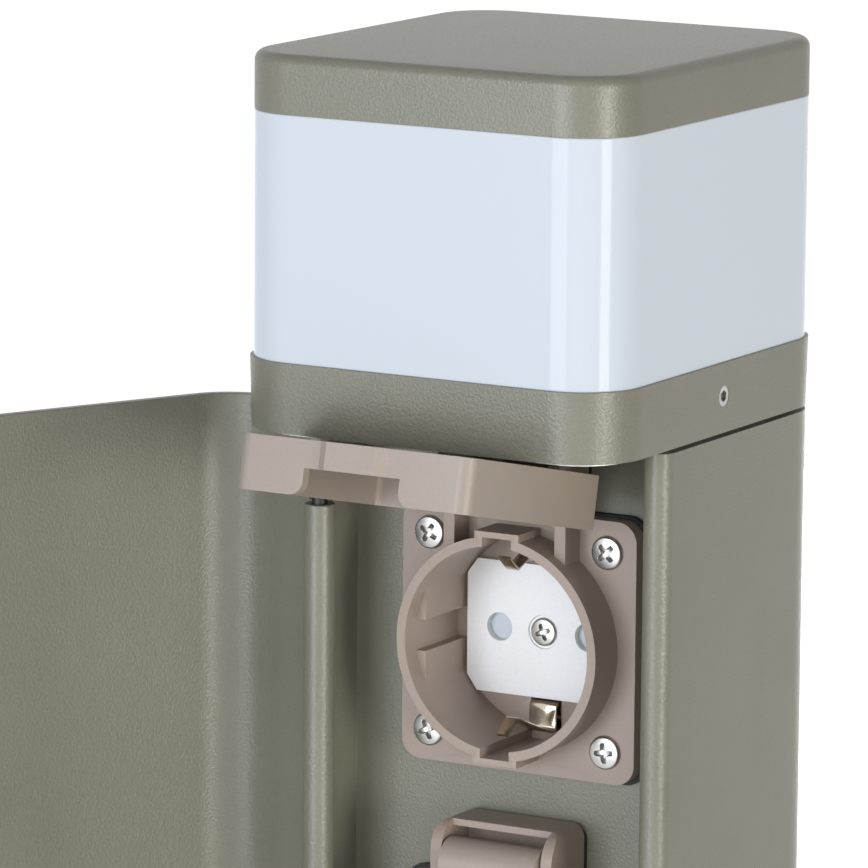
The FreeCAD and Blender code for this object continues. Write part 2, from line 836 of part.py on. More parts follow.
def terminal_block():
    """Three clamps that join the supply cable to the sockets and the lamp."""
    blank, holes = boxed_unit("terminal", "terminal_z", "terminal_height", "terminal_depth")
    back = "web_thickness + terminal_depth"
    middle = "web_thickness + terminal_depth / 2"
    along = past(("terminal_z", "terminal_z + terminal_height"))
    screw_span = (middle + " + terminal_entry", back + " - terminal_recess")
    screws = []
    for pole in ("-terminal_pitch", "0", "terminal_pitch"):
        holes.append(rod("terminal_entry", "z", "terminal_entry", along, (pole, middle)))
        for z in ("terminal_z + terminal_height / 4", "terminal_z + 3 * terminal_height / 4"):
            holes.append(rod("terminal_well", "y", "terminal_screw", (middle, back + " + 1"), (pole, z)))
            slot = block(
                "terminal_screw_slot",
                (f"{pole} - terminal_screw", f"{pole} + terminal_screw"),
                (screw_span[1] + " - 1", back),
                (f"{z} - terminal_slot", f"{z} + terminal_slot"),
            )
            blank_screw = rod("terminal_screw", "y", "terminal_screw", screw_span, (pole, z))
            screws.append(cut("terminal_screw_cut", blank_screw, slot))
    sub_part("terminal_block", cut("terminal_cut", blank, *holes))
    group("terminal_screws", screws)


def led_driver():
    blank, holes = boxed_unit("driver", "driver_z", "driver_height", "driver_depth")
    sub_part("led_driver", cut("driver_cut", blank, *holes))


def inner_screws():
    """The four screws of the terminal block and the driver."""
    at = [("0", "web_thickness + inner_ear_thickness", z) for z in inner_screw_heights()]
    sizes = ("inner_screw_head", "inner_screw_height", "inner_screw_radius", "inner_screw_length")
    group("inner_screws", [pan_screw("inner_screw", *sizes, "back", place) for place in at])


# Hinge
def hinge_spans():
    return {"bottom": ("door_bottom", "bottom_knuckle_top"), "top": ("top_knuckle_bottom", "door_top")}


def hinge_screw_places():
    places = []
    for low, high in hinge_spans().values():
        for share in (0.25, 0.75):
            places.append(("hinge_screw_y", f"{low} + {share} * ({high} - ({low}))"))
    return places


def hinge_bracket(end, span):
    """A knuckle on a leaf that lies inside the column's left wall."""
    at = ("hinge_x", "hinge_y")
    wall_inside = "wall - half_width"
    face = wall_inside + " + leaf_thickness"
    knuckle = rod("bracket_knuckle", "z", "hinge_radius", span, at)
    lug = block("bracket_lug", ("-half_width", wall_inside), ("hinge_y", "left_wall_end - running_gap"), span)
    leaf = block("bracket_leaf", (wall_inside, face), ("hinge_y", "-leaf_web_gap"), span)
    holes = [rod("bracket_bore", "z", "pin_radius", past(span), at)]
    sink = ("hinge_screw_radius", "hinge_screw_head")
    for place in hinge_screw_places():
        holes.append(rod("bracket_screw_hole", "x", "hinge_screw_radius", past((wall_inside, face)), place))
        holes.append(cone("bracket_screw_sink", "x", sink, (face + " - hinge_screw_sink", face), place))
    sub_part(f"hinge_bracket_{end}", cut("bracket_cut", fuse("bracket_blank", knuckle, lug, leaf), *holes))


def hinge_fasteners():
    face = "wall + leaf_thickness - half_width"
    length = "wall + leaf_thickness - hinge_screw_skin"
    sizes = ("hinge_screw_head", "hinge_screw_sink", "hinge_screw_radius", length)
    group("hinge_screws", [flush_screw("hinge_screw", *sizes, "right", (face, *at)) for at in hinge_screw_places()])
    at = ("hinge_x", "hinge_y")
    sub_part("hinge_pin", rod("hinge_pin_rod", "z", "pin_radius", ("door_bottom + pin_inset", "door_top - pin_inset"), at))
    washer_span = ("bottom_knuckle_top", "bottom_knuckle_top + knuckle_gap")
    ring = rod("washer_blank", "z", "hinge_radius", washer_span, at)
    hole = rod("washer_hole", "z", "pin_radius + running_gap", past(washer_span), at)
    sub_part("hinge_washer", cut("washer_cut", ring, hole))


# Door, built shut and then swung open about its hinge
def swing(part):
    """Turns a piece of the shut door to where the open door stands."""
    part.Placement = Placement(Vector(), Rotation(Vector(0, 0, 1), 1))
    bind(part, "Placement.Rotation.Angle", "-door_open")
    bind(part, "Placement.Base.x", "hinge_x - (hinge_x * cos(door_open) + hinge_y * sin(door_open))")
    bind(part, "Placement.Base.y", "hinge_y - (hinge_y * cos(door_open) - hinge_x * sin(door_open))")
    return part


def door():
    """A shell that wraps the post's front, with the hinge barrel along its left edge."""
    span = ("door_bottom", "door_top")
    barrel = ("bottom_knuckle_top + knuckle_gap", "top_knuckle_bottom - knuckle_gap")
    at = ("hinge_x", "hinge_y")
    shell = cut(
        "door_shell",
        post_prism("door_outer", "0", span),
        post_prism("door_inner", "door_wall", past(span)),
        block("door_rear", ("0", "half_width + 1"), ("door_right_end", "half_depth + 1"), past(span)),
        block("door_rear_left", ("-half_width - 1", "1"), ("hinge_y", "half_depth + 1"), past(span)),
    )
    tools = [rod("door_bore", "z", "pin_radius + running_gap", past(span), at)]
    relief_x = ("-half_width - 1", "hinge_x + hinge_radius + 1")
    for height in (("door_bottom - 1", barrel[0]), (barrel[1], "door_top + 1")):
        tools.append(block("door_relief", relief_x, ("hinge_y - knuckle_relief", "0"), height))
    skin = past(("-half_depth", "door_wall - half_depth"))
    tools.append(rod("door_lock_hole", "y", "lock_radius + running_gap", skin, ("lock_x", "lock_z")))
    whole = fuse("door_body", shell, rod("door_barrel", "z", "hinge_radius", barrel, at))
    sub_part("door", swing(cut("door_cut", whole, *tools)))


def cam_lock():
    """A quarter-turn lock: its cam turns behind the column's bead."""
    at = ("lock_x", "lock_z")
    face = "-half_depth"
    housing = (face + " - lock_flange_thickness", "lock_rear - cam_gap")
    flange = rod("lock_flange", "y", "lock_flange", (housing[0], face), at)
    barrel = rod("lock_barrel", "y", "lock_radius", (face, housing[1]), at)
    bore = rod("lock_bore", "y", "lock_core + running_gap", past(housing), at)
    sub_part("lock_housing", swing(cut("lock_housing_cut", fuse("lock_blank", flange, barrel), bore)))
    nut_span = (face + " + door_wall", face + " + door_wall + lock_nut_depth")
    nut = hexagon("lock_nut_blank", "y", "lock_nut_across", nut_span, at)
    nut_hole = rod("lock_nut_hole", "y", "lock_radius + running_gap", past(nut_span), at)
    sub_part("lock_nut", swing(cut("lock_nut_cut", nut, nut_hole)))
    core_front = face + " - lock_flange_thickness / 2"
    core = rod("lock_core_blank", "y", "lock_core", (core_front, "lock_rear"), at)
    stub = rod("lock_core_stub", "y", "lock_core / 2", ("lock_rear", "cam_rear"), at)
    key = hexagon("lock_key_recess", "y", "lock_core", (core_front + " - 1", core_front + " + lock_core"), at)
    thread = rod("lock_core_thread", "y", "cam_screw_radius", ("cam_rear - cam_screw_length", "cam_rear + 1"), at)
    sub_part("lock_core", swing(cut("lock_core_cut", fuse("lock_core_whole", core, stub), key, thread)))
    x = ("lock_x - cam_width / 2", "lock_x + cam_width / 2")
    z = ("lock_z - cam_reach", "lock_z + cam_width / 2")
    cam_span = ("lock_rear", "cam_rear")
    plate = prism("lock_cam_plate", "XZ", rectangle(x, z), cam_span, "cam_corner")
    eye = rod("lock_cam_eye", "y", "lock_core / 2", past(cam_span), at)
    sub_part("lock_cam", swing(cut("lock_cam_cut", plate, eye)))
    sizes = ("cam_screw_head", "cam_screw_height", "cam_screw_radius", "cam_screw_length")
    screw = pan_screw("cam_screw_piece", *sizes, "back", ("lock_x", "cam_rear", "lock_z"))
    carrier = doc.addObject("Part::Compound", "cam_screw_carrier")
    carrier.Links = [screw]
    sub_part("cam_screw", swing(carrier))


# Sockets, each built round its own middle and then lifted to its height
def socket_body(name, height):
    """Flange, collar ring, cup with its key ribs, and the hood that holds the lid's pin."""
    plate_span = ("plate_front", "plate_back")
    plate = prism(name + "_plate", "XZ", rectangle(both("plate_half"), both("plate_half")), plate_span, "plate_corner")
    ring = rod(name + "_ring", "y", "ring_outer", ("ring_front", "cup_back"), ("0", "0"))
    tabs = block(name + "_tabs", both("tab_half"), ("ring_front", "plate_front"), both("tab_reach"))
    whole = fuse(name + "_solid", plate, ring, tabs, hood(name))
    depth = ("ring_front - 1", "cup_floor")
    inside = cut(name + "_inside", rod(name + "_bore", "y", "ring_inner", depth, ("0", "0")), *key_ribs(name))
    tools = [
        inside,
        block(name + "_keyway", both("slot_half"), depth, both("slot_reach")),
        floor_opening(name),
        rod(name + "_pin_hole", "x", "lid_pin_radius", both("hood_half - lid_pin_skin"), ("lid_axis_y", "lid_axis_z")),
    ]
    for end in ("clip_opening", "-clip_opening"):
        tip = "ring_inner - clip_room" if end == "clip_opening" else "clip_room - ring_inner"
        room = block(name + "_clip_opening", both("clip_half + clip_room"), ("0", "cup_back + 1"), span_of(end, tip))
        tools.append(room)
    tools += [
        rod(name + "_screw_hole", "y", "flange_screw_radius + running_gap", past(plate_span), at)
        for at in mirrored_pairs("screw_place", "screw_place")
    ]
    sub_part(f"{name}_socket_body", move(cut(name + "_socket_cut", whole, *tools), z=height))


def hood(name):
    """Two cheeks, a back and a roof above the flange, open to the front for the lid's knuckle."""
    profile = [
        ("plate_back", "hood_low"),
        ("plate_back", "hood_top"),
        ("hood_front", "hood_top"),
        ("hood_front", "lid_axis_z - cheek_low"),
        ("ear_front", "lid_top + ear_rise"),
        ("ear_front", "hood_low"),
    ]
    solid = prism(name + "_hood_solid", "YZ", profile, both("hood_half"), {2: "hood_round"})
    hollow_y = ("hood_front - 1", "plate_back - hood_back")
    under = block(name + "_hood_hollow", both("cheek_inner"), hollow_y, ("hood_low - 1", "roof_under"))
    lip_y = ("hood_front - 1", "hood_lip")
    lip = block(name + "_hood_lip", both("cheek_inner"), lip_y, ("roof_under - 1", "hood_top + 1"))
    return cut(name + "_hood", solid, under, lip, *hood_corners(name))


def hood_corners(name):
    """What the rounding of the hood's two upper edges leaves off."""
    span = ("hood_front - 1", "plate_back + 1")
    centre_z = "hood_top - hood_corner"
    tools = []
    for side in ("-", ""):
        centre_x = side + "(hood_half - hood_corner)"
        x = span_of(centre_x, side + "(hood_half + 1)")
        corner = block(name + "_hood_corner", x, span, (centre_z, "hood_top + 1"))
        curve = rod(name + "_hood_curve", "y", "hood_corner", past(span), (centre_x, centre_z))
        tools.append(cut(name + "_hood_corner_cut", corner, curve))
    return tools


def key_ribs(name):
    """What the ribs at both sides of the cup leave out of its bore."""
    return [
        block(name + "_rib", x, ("rib_front", "cup_floor"), z)
        for x in (("-ring_outer", "-rib_flat"), ("rib_flat", "ring_outer"))
        for z in (("-ring_inner", "-rib_gap"), ("rib_gap", "ring_inner"))
    ]


def floor_opening(name):
    """The opening in the cup's floor for the contact carrier."""
    x = both("carrier_nose_x + running_gap")
    z = both("carrier_nose_z + running_gap")
    return block(name + "_floor_opening", x, past(("cup_floor", "cup_back")), z)


def gasket(name, height):
    """The rubber sheet between the flange and the web, up behind the hood."""
    span = ("plate_back", "0")
    outline = rectangle(both("gasket_half"), both("gasket_half"))
    pad = prism(name + "_gasket_pad", "XZ", outline, span, "plate_corner")
    tongue_outline = rectangle(both("hood_half"), ("0", "hood_top - tongue_drop"))
    tongue = prism(name + "_gasket_tongue", "XZ", tongue_outline, span, "hood_corner")
    holes = [rod(name + "_gasket_bore", "y", "ring_outer + running_gap", past(span), ("0", "0"))]
    holes += [
        rod(name + "_gasket_screw_hole", "y", "flange_screw_radius + running_gap", past(span), at)
        for at in mirrored_pairs("screw_place", "screw_place")
    ]
    whole = fuse(name + "_gasket_blank", pad, tongue)
    sub_part(f"{name}_gasket", move(cut(name + "_gasket_cut", whole, *holes), z=height))


def insert(name, height):
    """The white plate with the two pin holes and the sunk screw."""
    outline = []
    for right, up in (("-", "-"), ("", "-"), ("", ""), ("-", "")):
        side = (f"{right}insert_half_x", f"{up}(insert_half_z - insert_chamfer_z)")
        end = (f"{right}(insert_half_x - insert_chamfer_x)", f"{up}insert_half_z")
        outline += [side, end] if right == up else [end, side]
    span = ("insert_front", "cup_floor")
    plate = prism(name + "_insert_plate", "XZ", outline, span)
    tools = pin_holes(name + "_insert", past(span))
    tools.append(rod(name + "_insert_hole", "y", "insert_screw_radius + running_gap", past(span), ("0", "0")))
    well = ("insert_front - 1", "insert_front + insert_recess")
    tools.append(rod(name + "_insert_well", "y", "insert_screw_head + insert_recess", well, ("0", "0")))
    sub_part(f"{name}_insert", move(cut(name + "_insert_cut", plate, *tools), z=height))


def pin_holes(name, span):
    return [rod(name + "_pin_hole", "y", "pin_hole", span, (side + "pin_place", "0")) for side in ("-", "")]


def carrier(name, height):
    """The block behind the cup that holds the contacts and the shutter."""
    outline = rectangle(both("carrier_half"), both("carrier_half"))
    rear = prism(name + "_carrier_rear", "XZ", outline, ("cup_back", "carrier_back"), "carrier_corner")
    nose_span = ("cup_floor", "cup_back")
    nose = block(name + "_carrier_nose", both("carrier_nose_x"), nose_span, both("carrier_nose_z"))
    chamber = ("contact_front", "contact_front + contact_length")
    thread_end = "insert_front + insert_recess + insert_screw_length"
    room_z = ("shutter_floor", "shutter_high + shutter_play")
    tools = pin_holes(name + "_carrier", ("0", "contact_front + 1"))
    tools += [
        rod(name + "_chamber", "y", "contact_outer + running_gap", chamber, (side + "pin_place", "0"))
        for side in ("-", "")
    ]
    tools.append(rod(name + "_carrier_thread", "y", "insert_screw_radius", ("0", thread_end), ("0", "0")))
    tools.append(block(name + "_shutter_room", both("shutter_half + shutter_play"), ("0", "cup_back"), room_z))
    whole = fuse(name + "_carrier_blank", rear, nose)
    sub_part(f"{name}_contact_carrier", move(cut(name + "_carrier_cut", whole, *tools), z=height))


def shutter(name, height):
    """The slide that covers both pin holes until a plug presses it down."""
    span = ("cup_floor + shutter_slack", "cup_back - shutter_slack")
    plate = block(name + "_shutter_plate", both("shutter_half"), span, ("shutter_low", "shutter_high"))
    screw_room = "insert_screw_radius + 2 * shutter_play"
    slot_z = (minus(screw_room), f"shutter_travel + {screw_room}")
    tools = [block(name + "_shutter_slot", both(screw_room), past(span), slot_z)]
    for side in ("-", ""):
        window_at = (side + "pin_place", "shutter_travel")
        tools.append(rod(name + "_shutter_window", "y", "pin_hole + window_gap", past(span), window_at))
        room_x = (f"{side}spring_x - spring_coil - spring_room", f"{side}spring_x + spring_coil + spring_room")
        tools.append(block(name + "_spring_room", room_x, past(span), ("shutter_low - 1", "spring_top")))
    sub_part(f"{name}_shutter", move(cut(name + "_shutter_cut", plate, *tools), z=height))


def shutter_springs(name, height):
    """Two small coil springs that hold the shutter up."""
    low = "shutter_floor + spring_wire"
    coils = []
    for side in ("-", ""):
        helix = doc.addObject("Part::Helix", name + "_spring_path")
        bind(helix, "Pitch", "spring_pitch")
        bind(helix, "Height", f"spring_top - spring_wire - ({low})")
        bind(helix, "Radius", "spring_coil - spring_wire")
        wire = doc.addObject("Part::Circle", name + "_spring_wire")
        bind(wire, "Radius", "spring_wire")
        wire.Placement = Placement(Vector(), Rotation(Vector(1, 0, 0), 90))
        bind(wire, "Placement.Base.x", "spring_coil - spring_wire")
        coil = doc.addObject("Part::Sweep", name + "_spring_coil")
        doc.recompute()
        coil.Sections = [wire]
        coil.Spine = (helix, ["Edge1"])
        coil.Solid = True
        coil.Frenet = True
        coils.append(move(coil, side + "spring_x", "(cup_floor + cup_back) / 2", low))
    springs = doc.addObject("Part::Compound", name + "_springs")
    springs.Links = coils
    sub_part(f"{name}_shutter_springs", move(springs, z=height))


def lid(name, height, opened):
    """The flap: a shallow tray with a knuckle, a finger notch and a grip."""
    axis = ("lid_axis_y", "lid_axis_z")
    knuckle_x = both("cheek_inner - lid_cheek_gap")
    tray_outline = rectangle(both("lid_half"), ("lid_end", "lid_top"))
    tray = prism(name + "_lid_tray", "XZ", tray_outline, ("lid_front", "lid_rear"), "lid_corner")
    grip_outline = [
        ("-grip_half - grip_flank", "lid_end + grip_rise"),
        ("-grip_half", "lid_end - grip_rise"),
        ("grip_half", "lid_end - grip_rise"),
        ("grip_half + grip_flank", "lid_end + grip_rise"),
    ]
    grip = prism(name + "_lid_grip", "XZ", grip_outline, ("lid_front", "lid_rear - lid_notch_depth"))
    arm = block(name + "_lid_arm", knuckle_x, ("lid_front", "lid_axis_y"), ("lid_top - 1", "lid_axis_z"))
    knuckle = rod(name + "_lid_knuckle", "x", "lid_knuckle", knuckle_x, axis)
    whole = fuse(name + "_lid_solid", tray, grip, arm, knuckle)
    hollow_outline = rectangle(both("lid_half - lid_wall"), ("lid_end + lid_wall", "lid_top - lid_hinge_wall"))
    hollow = prism(name + "_lid_hollow", "XZ", hollow_outline, ("lid_floor", "lid_rear + 1"), "lid_inner_corner")
    ear_y = ("ear_front - lid_ear_gap", "lid_rear + 1")
    ear_z = past(("lid_top - lid_hinge_wall", "lid_top"))
    ear_room = block(name + "_lid_ear_room", both("hood_half + lid_ear_gap"), ear_y, ear_z)
    bore = rod(name + "_lid_bore", "x", "lid_pin_radius + running_gap", both("lid_half"), axis)
    shaped = cut(name + "_lid_cut", whole, hollow, ear_room, bore, *finger_notch(name))
    sub_part(f"{name}_lid", tilt(shaped, height, opened))


def finger_notch(name):
    """The notch in the lid's free edge, with corners that curve outwards."""
    through = past(("lid_end - grip_rise", "lid_end + lid_wall"))
    notch_y = ("lid_rear - lid_notch_depth", "lid_rear + 1")
    tools = [block(name + "_lid_notch", both("lid_notch_half"), notch_y, through)]
    for side in ("-", ""):
        inner = side + "lid_notch_half"
        outer = side + "(lid_notch_half + lid_notch_round)"
        centre_y = "lid_rear - lid_notch_round"
        corner = block(name + "_lid_flare_block", span_of(inner, outer), (centre_y, "lid_rear + 1"), through)
        curve = rod(name + "_lid_flare_round", "z", "lid_notch_round", past(through), (outer, centre_y))
        tools.append(cut(name + "_lid_flare", corner, curve))
    return tools


def lid_seal(name, height, opened):
    """The rubber ring inside the lid that presses on the cup's rim."""
    span = ("lid_floor", "ring_front")
    ring = rod(name + "_lid_seal_ring", "y", "ring_outer", span, ("0", "0"))
    hole = rod(name + "_lid_seal_hole", "y", "ring_outer - lid_seal_width", past(span), ("0", "0"))
    sub_part(f"{name}_lid_seal", tilt(cut(name + "_lid_seal_cut", ring, hole), height, opened))


def tilt(part, height, opened):
    """Lifts a piece of the shut lid to its socket, and turns it open about its pin where it stands open."""
    if not opened:
        return move(part, z=height)
    part.Placement = Placement(Vector(), Rotation(Vector(1, 0, 0), 1))
    bind(part, "Placement.Rotation.Angle", "-lid_open")
    bind(part, "Placement.Base.y", "lid_axis_y - (lid_axis_y * cos(lid_open) + lid_axis_z * sin(lid_open))")
    bind(part, "Placement.Base.z", f"{height} + lid_axis_z - (lid_axis_z * cos(lid_open) - lid_axis_y * sin(lid_open))")
    return part


def shared_socket_pieces():
    """The identical small pieces of both sockets."""
    flange_screws = []
    insert_screws = []
    pins = []
    clips = []
    contacts = []
    flange_sizes = ("flange_screw_head", "flange_screw_height", "flange_screw_radius", "flange_screw_length")
    insert_sizes = ("insert_screw_head", "insert_screw_height", "insert_screw_radius", "insert_screw_length")
    pin_x = both("hood_half - lid_pin_skin - running_gap")
    for height in socket_heights():
        for x, z in mirrored_pairs("screw_place", "screw_place"):
            at = (x, "plate_front", f"{height} + {z}")
            flange_screws.append(pan_screw("flange_screw", *flange_sizes, "front", at))
        at = ("0", "insert_front + insert_recess", height)
        insert_screws.append(pan_screw("insert_screw", *insert_sizes, "front", at))
        pins.append(rod("lid_pin", "x", "lid_pin_radius", pin_x, ("lid_axis_y", f"{height} + lid_axis_z")))
        clips.append(move(earth_clip(), z=height))
        for side in ("-", ""):
            contacts.append(contact(side, height))
    group("flange_screws", flange_screws)
    group("insert_screws", insert_screws)
    group("lid_pins", pins)
    group("earth_clips", clips)
    group("pin_contacts", contacts)


def contact(side, height):
    """A sprung sleeve that takes one pin of a plug."""
    at = (side + "pin_place", height)
    end = "contact_front + contact_length"
    sleeve = rod("contact_sleeve", "y", "contact_outer", ("contact_front", end), at)
    hole = rod("contact_hole", "y", "contact_outer - contact_wall", ("0", end + " - contact_wall"), at)
    slit_x = (f"{at[0]} - contact_slit", f"{at[0]} + contact_slit")
    slit_z = past((f"{height} - contact_outer", f"{height} + contact_outer"))
    slit = block("contact_slit_tool", slit_x, ("0", end + " - 3 * contact_wall"), slit_z)
    return cut("contact_cut", sleeve, hole, slit)


def earth_clip():
    """A bent strip, joined behind the carrier. At the top and the bottom of the cup it comes through the floor,
    folds outwards to the wall, and runs forward as a narrow tongue with a bent tip."""
    rear = "carrier_back + clip_thickness"
    path = [
        (rear, "clip_middle"),
        ("cup_back + 2 * clip_bend", "clip_middle"),
        ("cup_back - clip_bend", "clip_middle - clip_bend"),
        ("cup_back - 2 * clip_bend", "clip_inner + clip_bend"),
        ("cup_back - 3 * clip_bend", "clip_inner"),
        ("clip_front + clip_bend", "clip_inner"),
        ("clip_front", "clip_inner + clip_bend"),
        ("clip_front", "clip_outer - clip_bend"),
        ("clip_front - clip_bend", "clip_outer"),
        ("clip_front - 2 * clip_bend", "clip_outer"),
        ("clip_crest_y + clip_bend / 2", "clip_crest"),
        ("clip_crest_y - clip_bend / 2", "clip_crest"),
        ("clip_crest_y - clip_flare_run", "clip_crest + clip_flare"),
    ]
    leaves = [
        prism("clip_top", "YZ", ribbon(path, "clip_thickness"), both("clip_half")),
        prism("clip_bottom", "YZ", ribbon([(y, minus(z)) for y, z in path], "clip_thickness"), both("clip_half")),
    ]
    back_z = both("clip_middle + clip_thickness / 2")
    whole = fuse("clip_whole", *leaves, block("clip_back", both("clip_half"), ("carrier_back", rear), back_z))
    front = "clip_crest_y - clip_flare_run - 1"
    sides = []
    for side in ("-", ""):
        outline = [
            (side + "clip_tongue", front),
            (side + "clip_tongue", "clip_front - 4 * clip_bend"),
            (side + "(clip_half + 1)", "clip_front - clip_bend"),
            (side + "(clip_half + 1)", front),
        ]
        sides.append(prism("clip_side", "XY", outline, both("ring_inner")))
    return cut("clip", whole, *sides)


def ribbon(path, thickness):
    """The outline of a bent strip: each corner of its middle line, moved to either side and square to the bend."""
    places = [Vector(number(x), number(y), 0) for x, y in path]
    runs = [(after - before).normalize() for before, after in zip(places, places[1:])]
    near = []
    far = []
    for (x, y), before, after in zip(path, [runs[0], *runs], [*runs, runs[-1]]):
        across = Vector(-before.y - after.y, before.x + after.x, 0)
        across = across * (1 / across.dot(Vector(-after.y, after.x, 0))) * 0.5
        near.append((f"{x} + {across.x:.4f} * {thickness}", f"{y} + {across.y:.4f} * {thickness}"))
        far.append((f"{x} - {across.x:.4f} * {thickness}", f"{y} - {across.y:.4f} * {thickness}"))
    return near + far[::-1]


# Lamp head
def lamp_seat():
    """The tray screwed on the column's top that the head slides over."""
    tray = cut(
        "seat_tray",
        post_prism("seat_outer", "seat_inset", ("post_top", "seat_top")),
        post_prism("seat_pocket", "seat_inset + seat_wall", ("seat_floor", "seat_top + 1")),
    )
    floor_span = past(("post_top", "seat_floor"))
    holes = [rod("seat_hole", "z", "port_bore + running_gap", floor_span, at) for at in port_places()]
    holes.append(rod("seat_cable_hole", "z", "gland_radius", floor_span, ("0", "gland_y")))
    sub_part("lamp_seat", cut("lamp_seat_cut", tray, *holes))


def collar():
    """The head's lower ring, very slightly wider at its top."""
    taper = "atan(collar_draft / collar_height)"
    deck = past(("collar_deck_low", "collar_deck_top"))
    side_to_side = both("half_width + collar_draft + 1")
    outer = post_prism("collar_outer", "0", ("collar_bottom", "collar_top"), taper=taper)
    tools = [
        post_prism("collar_pocket", "collar_wall", ("collar_bottom - 1", "collar_deck_low")),
        post_prism("collar_recess", "collar_rim", ("collar_deck_top", "collar_top + 1")),
        rod("collar_cable_hole", "z", "gland_radius", deck, ("0", "gland_y")),
        rod("collar_set_hole", "x", "set_screw_radius", side_to_side, ("set_screw_y", "set_screw_z")),
    ]
    tools += [
        rod("collar_screw_hole", "z", "port_bore + running_gap", deck, at)
        for at in mirrored_pairs("head_screw_x", "head_screw_y")
    ]
    tools += [rod("collar_board_hole", "z", "inner_screw_radius", deck, at) for at in board_screw_places()]
    sub_part("collar", cut("collar_cut", outer, *tools))


def set_screws():
    """The two hexagon-socket screws that lock the head on its seat."""
    at = ("set_screw_y", "set_screw_z")
    outer_end = "half_width + set_screw_proud"
    pieces = []
    for side in ("-", ""):
        span = span_of(side + "(half_width - seat_inset)", side + f"({outer_end})")
        recess = span_of(side + f"({outer_end} - set_screw_key)", side + f"({outer_end} + 1)")
        stud = rod("set_screw", "x", "set_screw_radius", span, at)
        pieces.append(cut("set_screw_cut", stud, hexagon("set_screw_recess", "x", "set_screw_radius", recess, at)))
    group("set_screws", pieces)


def diffuser():
    """The opal sleeve, with a thin tongue into the collar and the cap."""
    tongue_span = ("collar_deck_top + gasket_thickness", "cap_deck - gasket_thickness")
    band = rounded_ring("diffuser_band", "head_inset", "diffuser_inner", ("collar_top", "cap_bottom"))
    tongue = rounded_ring("diffuser_tongue", "tongue_inset", "diffuser_inner", tongue_span)
    sub_part("diffuser", fuse("diffuser_whole", band, tongue))


def diffuser_gaskets():
    spans = (
        ("collar_deck_top", "collar_deck_top + gasket_thickness"),
        ("cap_deck - gasket_thickness", "cap_deck"),
    )
    rings = [rounded_ring("diffuser_gasket", "tongue_inset", "diffuser_inner", span) for span in spans]
    group("diffuser_gaskets", rings)


def cap():
    outer = post_prism("cap_outer", "head_inset", ("cap_bottom", "cap_top"))
    soften_top(outer, "cap_top", "cap_round")
    shell = cut(
        "cap_shell",
        outer,
        post_prism("cap_recess", "collar_rim", ("cap_bottom - 1", "cap_deck")),
        post_prism("cap_hollow", "cap_hollow_inset", ("cap_deck - 1", "cap_top - cap_roof")),
    )
    places = mirrored_pairs("head_screw_x", "head_screw_y")
    bosses = [rod("cap_boss_rod", "z", "cap_boss", ("cap_deck", "cap_top - cap_roof / 2"), at) for at in places]
    holes = [rod("cap_thread", "z", "port_bore", ("cap_deck - 1", "cap_deck + cap_screw_bite"), at) for at in places]
    sub_part("cap", cut("cap_cut", fuse("cap_body", shell, *bosses), *holes))


def cap_screws():
    """Four long screws from under the collar's deck up into the cap."""
    length = "cap_deck + cap_screw_bite - (collar_deck_low)"
    sizes = ("port_screw_head", "port_screw_height", "port_bore", length)
    places = mirrored_pairs("head_screw_x", "head_screw_y")
    group("cap_screws", [pan_screw("cap_screw", *sizes, "down", (*at, "collar_deck_low")) for at in places])


def board_screw_places():
    return mirrored_pairs("board_screw_place", "board_screw_place")


def light_source():
    """Heat spreader, board and lamps on the collar's deck."""
    sub_part("heat_spreader", plate_with_holes("spreader", "spreader_margin", ("collar_deck_top", "spreader_top")))
    sub_part("led_board", plate_with_holes("board", "0", ("spreader_top", "board_top")))
    lamps = []
    for column_place in (-1.5, -0.5, 0.5, 1.5):
        for row_place in (-1, 0, 1):
            x = (f"{column_place} * led_pitch - led_half", f"{column_place} * led_pitch + led_half")
            y = (f"{row_place} * led_pitch - led_half", f"{row_place} * led_pitch + led_half")
            lamps.append(block("led", x, y, ("board_top", "board_top + led_height")))
    group("leds", lamps)
    sizes = ("inner_screw_head", "inner_screw_height", "inner_screw_radius", "board_screw_length")
    group("board_screws", [pan_screw("board_screw", *sizes, "up", (*at, "board_top")) for at in board_screw_places()])


def plate_with_holes(name, margin, span):
    """A plate of the board's outline and a margin, with the board's screw holes and a hole for its wires."""
    outline = rectangle(both(f"board_half_x + {margin}"), both(f"board_half_y + {margin}"))
    plate = prism(name + "_plate", "XY", outline, span, "board_corner")
    holes = [
        rod(name + "_hole", "z", "inner_screw_radius + running_gap", past(span), at) for at in board_screw_places()
    ]
    holes.append(rod(name + "_wire_hole", "z", "terminal_entry", past(span), ("0", "gland_y")))
    return cut(name + "_cut", plate, *holes)


def check_and_write():
    """Stops on a failed object, then writes every sub-part."""
    doc.recompute()
    for thing in doc.Objects:
        if "Invalid" in thing.State or "Error" in thing.State:
            raise RuntimeError(f"{thing.Name} ({thing.Label}) failed: {thing.State}")
    for part in sub_parts:
        if part.Shape.isNull() or not part.Shape.isValid():
            raise RuntimeError(f"{part.Label} has no valid shape")
        part.Shape.exportStep(f"parts/{part.Label}.step")
        print(f"{part.Label:26s} solids {len(part.Shape.Solids):2d} volume {part.Shape.Volume:10.1f}")


